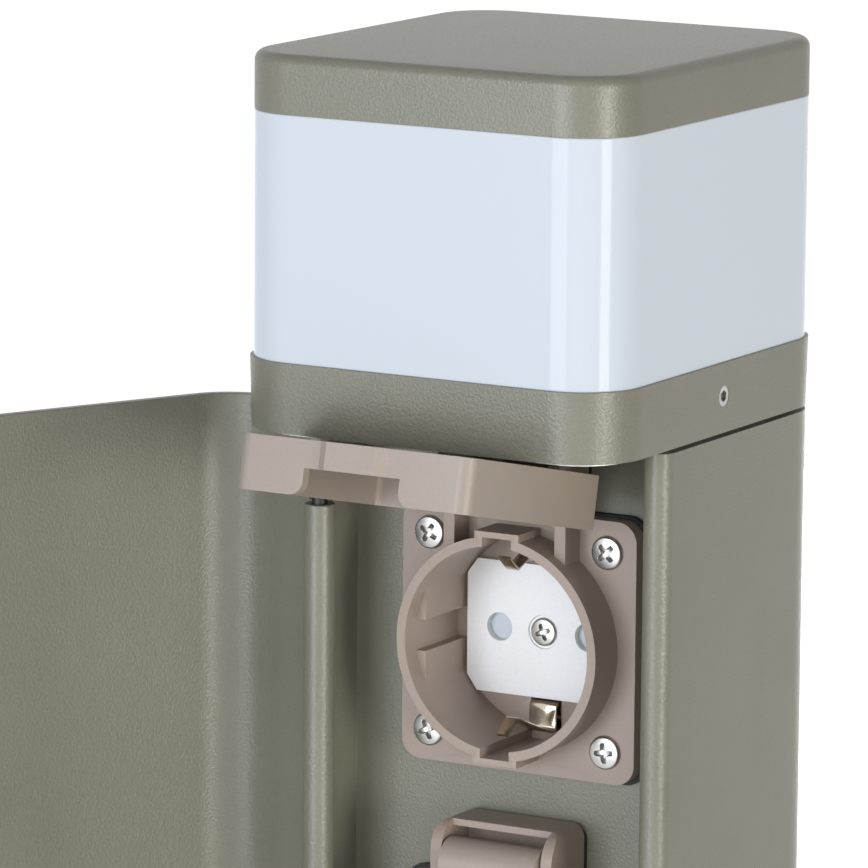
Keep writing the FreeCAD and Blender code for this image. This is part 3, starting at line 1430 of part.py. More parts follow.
base_plate()
foot()
foot_fasteners()
port_screws()
gland()
column()
terminal_block()
led_driver()
inner_screws()
for bracket_end, bracket_span in hinge_spans().items():
    hinge_bracket(bracket_end, bracket_span)
hinge_fasteners()
door()
cam_lock()
for socket_name, socket_height in zip(("upper", "lower"), socket_heights()):
    stands_open = socket_name == "upper"
    socket_body(socket_name, socket_height)
    gasket(socket_name, socket_height)
    insert(socket_name, socket_height)
    carrier(socket_name, socket_height)
    shutter(socket_name, socket_height)
    shutter_springs(socket_name, socket_height)
    lid(socket_name, socket_height, stands_open)
    lid_seal(socket_name, socket_height, stands_open)
shared_socket_pieces()
lamp_seat()
collar()
set_screws()
diffuser()
diffuser_gaskets()
cap()
cap_screws()
light_source()
check_and_write()
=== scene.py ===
import json
import math

import bmesh
import bpy
import numpy as np
from bpy.props import FloatProperty, FloatVectorProperty, IntProperty, PointerProperty
from bpy.types import Operator, Panel, PropertyGroup
from mathutils import Matrix, Vector


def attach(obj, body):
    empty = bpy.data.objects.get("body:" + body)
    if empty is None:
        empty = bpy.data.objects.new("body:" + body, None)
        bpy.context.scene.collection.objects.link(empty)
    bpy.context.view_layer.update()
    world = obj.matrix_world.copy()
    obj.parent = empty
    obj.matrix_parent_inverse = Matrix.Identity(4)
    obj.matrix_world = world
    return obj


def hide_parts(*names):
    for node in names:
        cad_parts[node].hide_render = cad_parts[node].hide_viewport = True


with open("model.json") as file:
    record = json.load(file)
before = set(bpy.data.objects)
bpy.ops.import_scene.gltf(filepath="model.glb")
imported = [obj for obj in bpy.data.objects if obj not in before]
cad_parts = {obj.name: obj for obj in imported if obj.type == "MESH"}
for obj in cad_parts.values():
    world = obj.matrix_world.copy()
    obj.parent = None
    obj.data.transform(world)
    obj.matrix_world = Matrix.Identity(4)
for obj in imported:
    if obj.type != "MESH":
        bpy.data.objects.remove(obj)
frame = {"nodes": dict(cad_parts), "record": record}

bl_info = {
    "name": "Garden lamp post with sockets",
    "version": (1, 0, 0),
    "blender": (4, 5, 0),
    "location": "View3D > Sidebar > Lamp post",
    "description": "Dresses the packed lamp post with finished pieces, materials and a studio",
    "category": "Object",
}

MM = 0.001
RECORD = frame["record"]
BODY_OF = {node: body for body, nodes in RECORD["behaviour"]["bodies"].items() for node in nodes}
SLOT_OF = {row["node"]: row["material_slot"] for row in RECORD["subparts"]}
SOCKETS = ("upper", "lower")

# Places on the post in millimetres, and an angle in degrees
MOUNT_HEIGHTS = {mount["name"]: mount["pos_m"][2] / MM for mount in RECORD["mounts"]}
SOCKET_HEIGHTS = {name: MOUNT_HEIGHTS[name + "_socket"] for name in SOCKETS}
HINGE_AXIS = (-37.3, -14.6, 0.0)
FLANGE_SCREW_PLACE = 19.0
LID_OPEN = 102.7

# Mesh work: how far apart two corners count as one, how far a flat may bend, how sharp an edge has to be
# to be rounded, and how many corners crowd a small moulding's flat
SAME_PLACE = 0.000002
FLAT_ANGLE = math.radians(0.6)
SHARP_ANGLE = math.radians(35)
CROWDED = 16


# Sizes and colours that a user would change
def length(name, description, default):
    return FloatProperty(name=name, description=description, default=default, min=0.0, unit="LENGTH")


def share(name, description, default):
    return FloatProperty(
        name=name, description=description, default=default, min=0.0, max=1.0, subtype="FACTOR"
    )


def power(name, description, default):
    return FloatProperty(name=name, description=description, default=default, min=0.0, unit="POWER")


def colour(name, description, default):
    return FloatVectorProperty(
        name=name, description=description, default=default, min=0.0, max=1.0, size=3, subtype="COLOR"
    )


class PostPaint(PropertyGroup):
    """The powder coat of the post, the door and the head."""

    colour: colour("Colour", "Colour of the powder coat", (0.182, 0.178, 0.135))
    roughness: share("Roughness", "Roughness of the powder coat", 0.34)
    grain: length("Grain", "Size of the coat's bumps", 0.0005)
    depth: length("Depth", "Height of the coat's bumps", 0.00008)


class Plastics(PropertyGroup):
    """The moulded parts of the sockets and the head."""

    socket: colour("Socket", "Colour of the socket bodies", (0.315, 0.25, 0.205))
    lid: colour("Lid", "Colour of the lids", (0.33, 0.275, 0.232))
    insert: colour("Insert", "Colour of the plates with the pin holes", (0.8, 0.795, 0.79))
    shutter: colour("Shutter", "Colour of the shutters behind the pin holes", (0.5, 0.55, 0.58))
    opal: colour("Opal", "Colour of the light head's sleeve", (0.35, 0.375, 0.405))
    # Painted light: an emission colour that makes the unlit sleeve glow, standing in for light that the opal
    # scatters through from all round
    painted_glow: colour("Glow", "Light that the sleeve passes on from all round", (0.27, 0.3, 0.335))
    grain: length("Grain", "Size of the spark texture", 0.0004)


class Metals(PropertyGroup):
    """The plated and bare metal pieces."""

    zinc: colour("Zinc", "Colour of the screws", (0.47, 0.46, 0.44))
    clip: colour("Clip", "Colour of the earth clips", (0.6, 0.53, 0.43))
    cast: colour("Cast", "Colour of the blasted castings", (0.55, 0.55, 0.53))


class Easing(PropertyGroup):
    """How far the sharp edges are rounded."""

    sheet: length("Sheet edges", "Rounding of painted sheet and extruded edges", 0.0005)
    moulded: length("Moulded edges", "Rounding of moulded edges", 0.0003)
    fine: length("Fine edges", "Rounding of screws and small pieces", 0.00012)
    steps: IntProperty(name="Steps", description="Segments across each rounded edge", default=3, min=1, max=6)


class Studio(PropertyGroup):
    """The light around the post."""

    key: power("Key", "Power of the front lamp", 20.5)
    fill: power("Fill", "Power of the lamp between the front and the right", 11.0)
    side: power("Side", "Power of the right-hand lamp", 13.6)
    left: power("Left", "Power of the left-hand lamp", 2.6)
    back: power("Back", "Power of the lamp behind the post", 30.0)
    ambient: FloatProperty(name="Ambient", description="Strength of the even light", default=0.06, min=0.0)


# Shader building
class Shader:
    """A node tree with short calls for its nodes and links."""

    def __init__(self, tree):
        self.tree = tree

    def node(self, kind, inputs=None, **settings):
        made = self.tree.nodes.new(kind)
        for name, value in settings.items():
            setattr(made, name, value)
        for name, value in (inputs or {}).items():
            self.feed(made.inputs[name], value)
        return made

    def feed(self, socket, value):
        if isinstance(value, bpy.types.NodeSocket):
            self.tree.links.new(value, socket)
        else:
            socket.default_value = value

    def math(self, operation, *values):
        made = self.tree.nodes.new("ShaderNodeMath")
        made.operation = operation
        for socket, value in zip(made.inputs, values):
            self.feed(socket, value)
        return made.outputs[0]

    def scaled(self, vector, factor):
        made = self.tree.nodes.new("ShaderNodeVectorMath")
        made.operation = "SCALE"
        self.feed(made.inputs[0], vector)
        self.feed(made.inputs["Scale"], factor)
        return made.outputs[0]

    def noise(self, place, scale, detail=2.0):
        made = self.node("ShaderNodeTexNoise", {"Vector": place, "Scale": scale, "Detail": detail})
        return made.outputs["Fac"]

    def spread(self, value, low, high):
        """Maps a noise value from 0.3 to 0.7 on to low to high."""
        limits = {"From Min": 0.3, "From Max": 0.7, "To Min": low, "To Max": high}
        return self.node("ShaderNodeMapRange", {"Value": value, **limits}).outputs["Result"]


def new_group(name, inputs, outputs):
    group = bpy.data.node_groups.new(name, "ShaderNodeTree")
    for label, kind in inputs:
        group.interface.new_socket(label, in_out="INPUT", socket_type="NodeSocket" + kind)
    for label, kind in outputs:
        group.interface.new_socket(label, in_out="OUTPUT", socket_type="NodeSocket" + kind)
    shader = Shader(group)
    return shader, shader.node("NodeGroupInput").outputs, shader.node("NodeGroupOutput").inputs


def grained_skin():
    """A fine even grain over a slow change of shade, for powder coat and moulded plastic."""
    inputs = [
        ("Place", "Vector"),
        ("Colour", "Color"),
        ("Grain", "Float"),
        ("Mottle", "Float"),
        ("Roughness", "Float"),
        ("Wear", "Float"),
    ]
    outputs = [("Colour", "Color"), ("Roughness", "Float"), ("Height", "Float")]
    shader, given, wanted = new_group("grained_skin", inputs, outputs)
    fine = shader.noise(given["Place"], scale=shader.math("DIVIDE", 1.0, given["Grain"]))
    slow = shader.noise(given["Place"], scale=38.0, detail=3.0)
    tone = shader.math("ADD", shader.spread(slow, -0.5, 0.5), shader.spread(fine, -0.7, 0.7))
    shade = shader.math("MULTIPLY_ADD", tone, given["Mottle"], 1.0)
    shader.feed(wanted["Colour"], shader.scaled(given["Colour"], shade))
    worn = shader.math("MULTIPLY_ADD", shader.spread(fine, -0.5, 0.5), given["Wear"], given["Roughness"])
    shader.feed(wanted["Roughness"], worn)
    shader.feed(wanted["Height"], fine)
    return shader.tree


def plated_skin():
    """Faint cloudy tarnish and fine scratches on plated or bare metal."""
    inputs = [("Place", "Vector"), ("Colour", "Color"), ("Cloud", "Float"), ("Roughness", "Float")]
    outputs = [("Colour", "Color"), ("Roughness", "Float"), ("Height", "Float")]
    shader, given, wanted = new_group("plated_skin", inputs, outputs)
    cloud = shader.noise(given["Place"], scale=420.0, detail=3.0)
    stretched = shader.node("ShaderNodeMapping", {"Vector": given["Place"], "Scale": (900.0, 900.0, 9000.0)})
    scratch = shader.noise(stretched.outputs["Vector"], scale=1.0)
    shade = shader.math("MULTIPLY_ADD", shader.spread(cloud, -0.5, 0.5), given["Cloud"], 1.0)
    shader.feed(wanted["Colour"], shader.scaled(given["Colour"], shade))
    worn = shader.math("MULTIPLY_ADD", shader.spread(cloud, -0.5, 0.5), 0.15, given["Roughness"])
    scratched = shader.math("MULTIPLY_ADD", shader.spread(scratch, -0.5, 0.5), 0.08, worn)
    shader.feed(wanted["Roughness"], scratched)
    shader.feed(wanted["Height"], scratch)
    return shader.tree


GROUPS = {"grained_skin": grained_skin, "plated_skin": plated_skin}


def group_tree(name):
    return bpy.data.node_groups.get(name) or GROUPS[name]()


def finish_settings(slot):
    """For a slot: shader group, its values, the bump's depth in metres, and values of the Principled BSDF."""
    scene = bpy.context.scene
    paint, plastics, metals = scene.post_paint, scene.post_plastics, scene.post_metals

    def grained(tone, roughness, mottle=0.05, grain=plastics.grain, depth=0.00001, wear=0.12, **own):
        values = {"Colour": tone, "Grain": grain, "Mottle": mottle, "Roughness": roughness, "Wear": wear}
        return "grained_skin", values, depth, own

    def plated(tone, roughness, cloud=0.1, depth=0.000002, **own):
        own = {"Metallic": 1.0, **own}
        return "plated_skin", {"Colour": tone, "Cloud": cloud, "Roughness": roughness}, depth, own

    table = {
        "post_paint": lambda: grained(
            paint.colour, paint.roughness, mottle=0.09, grain=paint.grain, depth=paint.depth
        ),
        "cast_base": lambda: grained(
            metals.cast, 0.55, mottle=0.12, grain=0.0009, depth=0.00008, Metallic=0.9
        ),
        # The opal's emission is painted light: a glow that stands in for light scattered through the sleeve
        "opal": lambda: grained(
            plastics.opal, 0.09, mottle=0.0, depth=0.0, wear=0.01,
            **{"Specular IOR Level": 0.12, "Emission Color": (*plastics.painted_glow, 1.0), "Emission Strength": 1.0},
        ),
        "socket_plastic": lambda: grained(plastics.socket, 0.42, mottle=0.06),
        "lid_plastic": lambda: grained(plastics.lid, 0.42, mottle=0.05),
        "white_plastic": lambda: grained(plastics.insert, 0.32, mottle=0.02, depth=0.000004),
        "blue_grey_plastic": lambda: grained(plastics.shutter, 0.35, mottle=0.03, depth=0.000004),
        "black_plastic": lambda: grained(
            (0.022, 0.022, 0.024), 0.5, mottle=0.15, grain=0.0005, depth=0.00002
        ),
        "rubber": lambda: grained((0.016, 0.016, 0.016), 0.65, mottle=0.2, grain=0.0007, depth=0.00002),
        "zinc": lambda: plated(metals.zinc, 0.34, cloud=0.06),
        "spring_steel": lambda: plated((0.55, 0.55, 0.55), 0.3),
        # Near-black steel: painted shade for the dark gap where the hinge pin shows at the top of the barrel
        "painted_shade_steel": lambda: plated((0.05, 0.05, 0.048), 0.45),
        "clip_metal": lambda: plated(metals.clip, 0.16, cloud=0.14),
        "contact_metal": lambda: plated((0.78, 0.6, 0.3), 0.25, cloud=0.2),
        "spreader": lambda: plated((0.7, 0.7, 0.7), 0.35),
        "board": lambda: grained((0.82, 0.82, 0.78), 0.4, mottle=0.02, depth=0.000004),
        "led": lambda: grained((0.85, 0.66, 0.12), 0.25, mottle=0.04, depth=0.000004),
        "lock_metal": lambda: plated((0.5, 0.5, 0.5), 0.2, cloud=0.05),
    }
    return table[slot]()


def finish(slot):
    """The material of a slot: its group's colour, roughness and height into one Principled BSDF."""
    material = bpy.data.materials.get("finish_" + slot)
    if material:
        return material
    group_name, values, depth, own = finish_settings(slot)
    material = bpy.data.materials.new("finish_" + slot)
    material.use_nodes = True
    shader = Shader(material.node_tree)
    surface = material.node_tree.nodes["Principled BSDF"]
    place = shader.node("ShaderNodeTexCoord").outputs["Object"]
    skin = shader.node("ShaderNodeGroup", node_tree=group_tree(group_name))
    shader.feed(skin.inputs["Place"], place)
    for name, value in values.items():
        shader.feed(skin.inputs[name], (*value, 1.0) if name == "Colour" else value)
    bump = shader.node("ShaderNodeBump", {"Height": skin.outputs["Height"], "Distance": depth})
    shader.feed(surface.inputs["Base Color"], skin.outputs["Colour"])
    shader.feed(surface.inputs["Roughness"], skin.outputs["Roughness"])
    shader.feed(surface.inputs["Normal"], bump.outputs["Normal"])
    for name, value in own.items():
        surface.inputs[name].default_value = value
    material.diffuse_color = (*values["Colour"], 1.0)
    return material


# Mesh building
def made_of(node, *grids, look=None):
    """The finished piece of a CAD node, from grids of points in millimetres.

    Each grid is an array of rows of rings, with a flag that says whether its last ring joins its first.
    A grid that doesn't close that way gets a flat cap at both ends.
    """
    corners, faces = [], []
    for rings, joined in grids:
        start = sum(len(part) for part in corners)
        rows, columns = rings.shape[:2]
        faces += grid_faces(rows, columns, joined, start)
        if not joined:
            first = start + np.arange(columns)
            faces += [first[::-1].tolist(), (first + (rows - 1) * columns).tolist()]
        corners.append(rings.reshape(-1, 3))
    mesh = bpy.data.meshes.new(node + "_finished")
    mesh.from_pydata((np.vstack(corners) * MM).tolist(), [], faces)
    work = bmesh.new()
    work.from_mesh(mesh)
    bmesh.ops.recalc_face_normals(work, faces=work.faces)
    work.to_mesh(mesh)
    work.free()
    mesh.shade_smooth()
    mesh.set_sharp_from_angle(angle=SHARP_ANGLE)
    return placed(node, mesh, look)


def grid_faces(rows, columns, joined, start):
    """Quads of a grid whose point (row, column) is at row * columns + column.

    Each ring is closed, and where the grid is joined, so is the way from its last ring to its first.
    """
    row, column = np.meshgrid(np.arange(rows if joined else rows - 1), np.arange(columns), indexing="ij")
    below, beside = (row + 1) % rows, (column + 1) % columns
    near = [row * columns + column, row * columns + beside]
    far = [below * columns + beside, below * columns + column]
    return (np.stack(near + far, -1).reshape(-1, 4) + start).tolist()


def placed(node, mesh, look=None):
    """Gives a finished mesh its node's body and material, or another look."""
    slot = SLOT_OF[node]
    mesh.materials.append(finish(look or slot))
    piece = bpy.data.objects.new(node + "_finished", mesh)
    bpy.context.scene.collection.objects.link(piece)
    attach(piece, BODY_OF[node])
    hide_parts(node)
    return piece


def smoothed(path, rounds):
    """An open path with each straight run cut at its quarters, a few times over. Both ends stay."""
    for _ in range(rounds):
        cut = np.stack([0.75 * path[:-1] + 0.25 * path[1:], 0.25 * path[:-1] + 0.75 * path[1:]], axis=1)
        path = np.vstack([path[:1], cut.reshape(-1, 2), path[-1:]])
    return path


def strip(path, half_width, thickness, corner):
    """Rings of a bent strip: at each point of a path over y and z, a rectangle with rounded corners.

    The rectangle stands square to the path, half_width to either side along x.
    """
    run = np.gradient(path, axis=0)
    run /= np.linalg.norm(run, axis=1, keepdims=True)
    angle = np.linspace(0.0, 0.5 * np.pi, 4)
    angle = (angle + 0.5 * np.pi * np.arange(4)[:, None]).reshape(-1)
    side = np.repeat([1.0, -1.0, -1.0, 1.0], 4)
    face = np.repeat([1.0, 1.0, -1.0, -1.0], 4)
    x = side * (half_width[:, None] - corner) + corner * np.cos(angle)
    off = face * (thickness / 2 - corner) + corner * np.sin(angle)
    y = path[:, :1] - run[:, 1:] * off
    z = path[:, 1:] + run[:, :1] * off
    return np.stack([x, y, z], axis=-1)


def turned(profile, along, sides=72):
    """Rings of a turned piece: each point of a profile of radius and height, swept round an axis."""
    angle = np.linspace(0.0, 2.0 * np.pi, sides, endpoint=False)
    radius, height = profile[:, :1], profile[:, 1:] + 0.0 * angle
    across, up = radius * np.cos(angle), radius * np.sin(angle)
    order = {"x": (height, across, up), "y": (across, height, up), "z": (across, up, height)}
    return np.stack(order[along], axis=-1)


def domed_pin(radius, low, high, dome):
    """Profile of a pin whose ends are domed by a quarter of an ellipse."""
    angle = np.linspace(0.06, 0.5 * np.pi, 7)
    low_end = np.stack([radius * np.sin(angle), low + dome * (1.0 - np.cos(angle))], axis=1)
    high_end = np.stack([low_end[::-1, 0], high - (low_end[::-1, 1] - low)], axis=1)
    return np.vstack([low_end, high_end])


def eased_edges(piece, width, steps):
    """Rounds every edge sharper than SHARP_ANGLE."""
    bevel = piece.modifiers.new("eased_edges", "BEVEL")
    bevel.width = width
    bevel.segments = steps
    bevel.limit_method = "ANGLE"
    bevel.angle_limit = SHARP_ANGLE
    bevel.harden_normals = True
    bevel.use_clamp_overlap = True
    bevel.miter_outer = "MITER_ARC"


def dressed(node, width, crowded=400):
    """A copy of a CAD node's mesh, with its loose triangles joined, its flats merged and its edges rounded.

    A flat with more corners than crowded stays in triangles, because a bevel can fold it over.
    """
    source = frame["nodes"][node].data
    work = bmesh.new()
    work.from_mesh(source)
    bmesh.ops.remove_doubles(work, verts=work.verts, dist=SAME_PLACE)
    bmesh.ops.dissolve_limit(
        work, angle_limit=FLAT_ANGLE, verts=work.verts, edges=work.edges, use_dissolve_boundaries=False
    )
    bmesh.ops.triangulate(work, faces=[face for face in work.faces if len(face.verts) > crowded])
    for edge in work.edges:
        edge.smooth = edge.is_manifold and edge.calc_face_angle(0.0) < SHARP_ANGLE
    for face in work.faces:
        face.smooth = True
    mesh = bpy.data.meshes.new(node + "_finished")
    work.to_mesh(mesh)
    work.free()
    eased_edges(placed(node, mesh), width, bpy.context.scene.post_easing.steps)


def repainted(*nodes):
    """Gives CAD nodes that keep their own mesh the material of their slot."""
    for node in nodes:
        mesh = frame["nodes"][node].data
        mesh.materials.clear()
        mesh.materials.append(finish(SLOT_OF[node]))


# Operators
class PieceOperator:
    """What every operator that makes pieces shares."""

    bl_options = {"REGISTER", "UNDO"}


class LAMP_OT_column(PieceOperator, Operator):
    """The painted column with its web and front bead"""

    bl_idname = "lamp_post.column"
    bl_label = "Column"

    def execute(self, context):
        dressed("column", context.scene.post_easing.sheet)
        return {"FINISHED"}


class LAMP_OT_foot(PieceOperator, Operator):
    """The base plate, the foot, the cable gland and their screws"""

    bl_idname = "lamp_post.foot"
    bl_label = "Foot"

    def execute(self, context):
        easing = context.scene.post_easing
        dressed("base_plate", easing.sheet)
        dressed("foot", easing.sheet)
        for node in ("gland_body", "gland_nut", "gland_cap", "gland_seal"):
            dressed(node, easing.moulded)
        for node in ("foot_screws", "port_screws"):
            dressed(node, easing.fine)
        return {"FINISHED"}


class LAMP_OT_door(PieceOperator, Operator):
    """The door with its hinge and cam lock"""

    bl_idname = "lamp_post.door"
    bl_label = "Door"

    def execute(self, context):
        easing = context.scene.post_easing
        dressed("door", easing.sheet)
        for node in ("hinge_bracket_bottom", "hinge_bracket_top"):
            dressed(node, easing.moulded)
        for node in ("lock_housing", "lock_core", "lock_cam", "lock_nut"):
            dressed(node, easing.moulded)
        for node in ("hinge_screws", "hinge_washer", "cam_screw"):
            dressed(node, easing.fine)
        pin = turned(domed_pin(radius=1.5, low=26.5, high=379.3, dome=0.5), "z") + HINGE_AXIS
        # The pin's near-black steel is painted shade for the dark gap at the top of the barrel
        made_of("hinge_pin", (pin, False), look="painted_shade_steel")
        return {"FINISHED"}


class LAMP_OT_sockets(PieceOperator, Operator):
    """Both sockets with their gaskets, inserts, contacts and screws"""

    bl_idname = "lamp_post.sockets"
    bl_label = "Sockets"

    def execute(self, context):
        easing = context.scene.post_easing
        heights = SOCKET_HEIGHTS.values()
        for name in SOCKETS:
            dressed(f"{name}_socket_body", easing.moulded, CROWDED)
            dressed(f"{name}_gasket", easing.fine)
            dressed(f"{name}_insert", easing.fine)
            dressed(f"{name}_contact_carrier", easing.moulded, CROWDED)
            repainted(f"{name}_shutter", f"{name}_shutter_springs")
        dressed("pin_contacts", easing.fine)
        flange_screw = sunk_cross_screw(head=3.25, top=-5.5, under=-4.4, shank=1.6, tip=4.6)
        sides = (-FLANGE_SCREW_PLACE, FLANGE_SCREW_PLACE)
        corners = [(x, 0.0, z + height) for height in heights for x in sides for z in sides]
        made_of("flange_screws", *turned_screws(flange_screw, corners))
        insert_screw = sunk_cross_screw(head=2.75, top=5.1, under=6.0, shank=1.4, tip=18.0)
        middles = [(0.0, 0.0, height) for height in heights]
        made_of("insert_screws", *turned_screws(insert_screw, middles))
        made_of("earth_clips", *(earth_clip(height) for height in heights))
        return {"FINISHED"}


def sunk_cross_screw(head, top, under, shank, tip):
    """Rings of a screw that points along +y, from a nearly flat head to the tip of a plain shank.

    The head is a cap of a sphere with a shoulder that is a quarter of an ellipse. A cross is sunk into it,
    deepest in its middle, with arms that grow narrower further out. head and shank are radii, and top, under
    and tip are places along y: of the head's top, its underside and the shank's end.
    """
    ball = 4.5 * head
    rim = 0.55
    shoulder_end = under - 0.1
    chamfer = 0.6
    arm_reach, arm_half_width, wall = 0.6 * head, 0.2 * head, 0.12
    depth = 0.32 * head
    radius = np.linspace(0.03, head - rim, 38)
    dome = np.stack([radius, top + ball - np.sqrt(ball**2 - radius**2)], axis=1)
    angle = np.linspace(0.0, 0.5 * np.pi, 9)[1:]
    fall = (shoulder_end - dome[-1, 1]) * (1.0 - np.cos(angle))
    edge = dome[-1] + np.stack([rim * np.sin(angle), fall], axis=1)
    below = [(head, under - 0.05), (head - 0.05, under), (shank, under)]
    end = [(shank, tip - chamfer), (shank - chamfer, tip)]
    rings = turned(np.vstack([dome, edge, below, end]), "y", sides=120)
    arms = np.sort(np.abs(rings[..., ::2]), axis=-1)
    beside, along = arms[..., 0], arms[..., 1] / arm_reach
    inside = np.clip((arm_half_width * (1.0 - 0.35 * along) - beside) / wall, 0.0, 1.0)
    in_head = rings[..., 1] < under - 0.2
    rings[..., 1] += depth * np.clip(1.0 - along**3, 0.0, 1.0) * inside * in_head
    return rings


def turned_screws(rings, places):
    """The same screw at each place, each driven home at another angle."""
    first_turn, next_turn = 22.0, 37.0
    for count, place in enumerate(places):
        turn = math.radians(first_turn + next_turn * count)
        x, z = rings[..., 0], rings[..., 2]
        across = x * math.cos(turn) - z * math.sin(turn)
        up = x * math.sin(turn) + z * math.cos(turn)
        yield np.stack([across, rings[..., 1], up], axis=-1) + place, False


def earth_clip(height):
    """One bent strip, 5.8 mm wide behind and 2.6 mm wide in its tongues.

    It runs from a tongue's tip over the crest to the cup's wall, folds through the floor, goes along the back
    and comes round in the same way below.
    """
    tongue = [(-9.8, 17.0), (-6.7, 14.4), (-6.1, 14.4), (4.6, 18.8), (5.2, 18.8), (5.8, 18.2)]
    fold = [(5.8, 14.3), (6.4, 13.7), (7.2, 13.7), (7.8, 14.3), (8.4, 17.5)]
    back = [(10.2, 18.1), (31.3, 18.1)]
    leaf = np.array(tongue + fold + back)
    path = smoothed(np.vstack([leaf, leaf[::-1] * (1.0, -1.0)]), rounds=3)
    widens_over, half_widths = (2.6, 4.8), (1.3, 2.9)
    half_width = np.interp(path[:, 0], widens_over, half_widths)
    rings = strip(path, half_width, thickness=0.6, corner=0.18)
    return rings + (0.0, 0.0, height), False


class LAMP_OT_lids(PieceOperator, Operator):
    """Both lids with their seals and pins"""

    bl_idname = "lamp_post.lids"
    bl_label = "Lids"

    def execute(self, context):
        easing = context.scene.post_easing
        for name in SOCKETS:
            dressed(f"{name}_lid", easing.moulded)
            made_of(f"{name}_lid_seal", lid_seal(name))
        pin = turned(domed_pin(radius=1.2, low=-12.15, high=12.15, dome=0.4), "x")
        made_of("lid_pins", *((pin + (0.0, *lid_axis(name)), False) for name in SOCKETS))
        return {"FINISHED"}


def lid_axis(name):
    """Where a lid's pin passes, over y and z in millimetres."""
    joint = next(row for row in RECORD["behaviour"]["joints"] if row["name"] == name + "_lid_hinge")
    return np.array(joint["pos_m"][1:]) / MM


def lid_seal(name):
    """A rubber ring whose lip is rounded by half an ellipse. The upper one stands open with its lid."""
    inner, outer, back = 18.6, 21.3, -14.0
    lip_radius, lip_half_width = 19.95, 1.35
    lip_start, lip_rise = -13.55, 0.55
    angle = np.linspace(0.0, np.pi, 15)
    across = lip_radius + lip_half_width * np.cos(angle)
    lip = np.stack([across, lip_start + lip_rise * np.sin(angle)], axis=1)
    profile = np.vstack([[(outer, back)], lip, [(inner, back)]])
    rings = turned(profile, "y") + (0.0, 0.0, SOCKET_HEIGHTS[name])
    if name == "lower":
        return rings, True
    opened = math.radians(LID_OPEN)
    y, z = np.moveaxis(rings[..., 1:] - lid_axis(name), -1, 0)
    rings[..., 1] = lid_axis(name)[0] + y * math.cos(opened) + z * math.sin(opened)
    rings[..., 2] = lid_axis(name)[1] - y * math.sin(opened) + z * math.cos(opened)
    return rings, True


class LAMP_OT_head(PieceOperator, Operator):
    """The light head: seat, collar, opal sleeve and cap"""

    bl_idname = "lamp_post.head"
    bl_label = "Light head"

    def execute(self, context):
        easing = context.scene.post_easing
        dressed("lamp_seat", easing.fine)
        repainted("collar")
        dressed("diffuser", easing.moulded)
        dressed("diffuser_gaskets", easing.fine)
        dressed("cap", easing.fine)
        dressed("set_screws", easing.fine, CROWDED)
        dressed("cap_screws", easing.fine)
        return {"FINISHED"}


class LAMP_OT_light(PieceOperator, Operator):
    """The light source and the supply pieces inside the post"""

    bl_idname = "lamp_post.light"
    bl_label = "Light source and supply"

    def execute(self, context):
        easing = context.scene.post_easing
        for node in ("terminal_block", "led_driver"):
            dressed(node, easing.moulded)
        for node in ("heat_spreader", "led_board", "leds", "board_screws", "terminal_screws", "inner_screws"):
            dressed(node, easing.fine)
        return {"FINISHED"}


# Camera and studio
CAMERA_AT = Vector((0.57097, -1.02642, 0.58931))
CAMERA_YAW, CAMERA_PITCH, CAMERA_ROLL = (math.radians(angle) for angle in (-29.974, 10.264, 0.456))
CAMERA_LENS = 264.56
LIT_POINT = Vector((0.0, 0.0, 0.33))
COOL, WARM, AMBER, NEUTRAL = (0.94, 1.01, 1.12), (1.03, 1.0, 0.93), (1.0, 0.9, 0.8), (1.0, 1.0, 1.0)
WHITE = (1.0, 1.0, 1.0, 1.0)


def camera_turn():
    """The camera's rotation from its heading, its tilt down and its roll."""
    ahead = Vector((
        math.sin(CAMERA_YAW) * math.cos(CAMERA_PITCH),
        math.cos(CAMERA_YAW) * math.cos(CAMERA_PITCH),
        -math.sin(CAMERA_PITCH),
    ))
    level = Vector((math.cos(CAMERA_YAW), -math.sin(CAMERA_YAW), 0.0))
    above = level.cross(ahead)
    right = math.cos(CAMERA_ROLL) * level + math.sin(CAMERA_ROLL) * above
    up = math.cos(CAMERA_ROLL) * above - math.sin(CAMERA_ROLL) * level
    return Matrix((right, up, -ahead)).transposed().to_4x4()


def set_camera():
    """The camera, in the place and with the lens that match the photograph's view."""
    camera = bpy.data.cameras.new("camera")
    camera.lens = CAMERA_LENS
    camera.sensor_width = 36.0
    camera.clip_end = 50.0
    eye = bpy.data.objects.new("camera", camera)
    eye.matrix_world = Matrix.Translation(CAMERA_AT) @ camera_turn()
    bpy.context.scene.collection.objects.link(eye)
    bpy.context.scene.camera = eye


def soft_lamp(name, watts, azimuth, height, away, size, tint=NEUTRAL):
    """A rectangular lamp that faces the sockets.

    Its azimuth is in degrees, from the front towards the right. Its height, distance and size are in metres.
    """
    lamp = bpy.data.lights.new(name, "AREA")
    lamp.shape = "RECTANGLE"
    lamp.size, lamp.size_y = size
    lamp.energy = watts
    lamp.color = tint
    made = bpy.data.objects.new(name, lamp)
    angle = math.radians(azimuth)
    at = Vector((away * math.sin(angle), -away * math.cos(angle), height))
    aim = LIT_POINT - at
    made.matrix_world = Matrix.Translation(at) @ aim.to_track_quat("-Z", "Y").to_matrix().to_4x4()
    made.visible_camera = False
    bpy.context.scene.collection.objects.link(made)
    return made


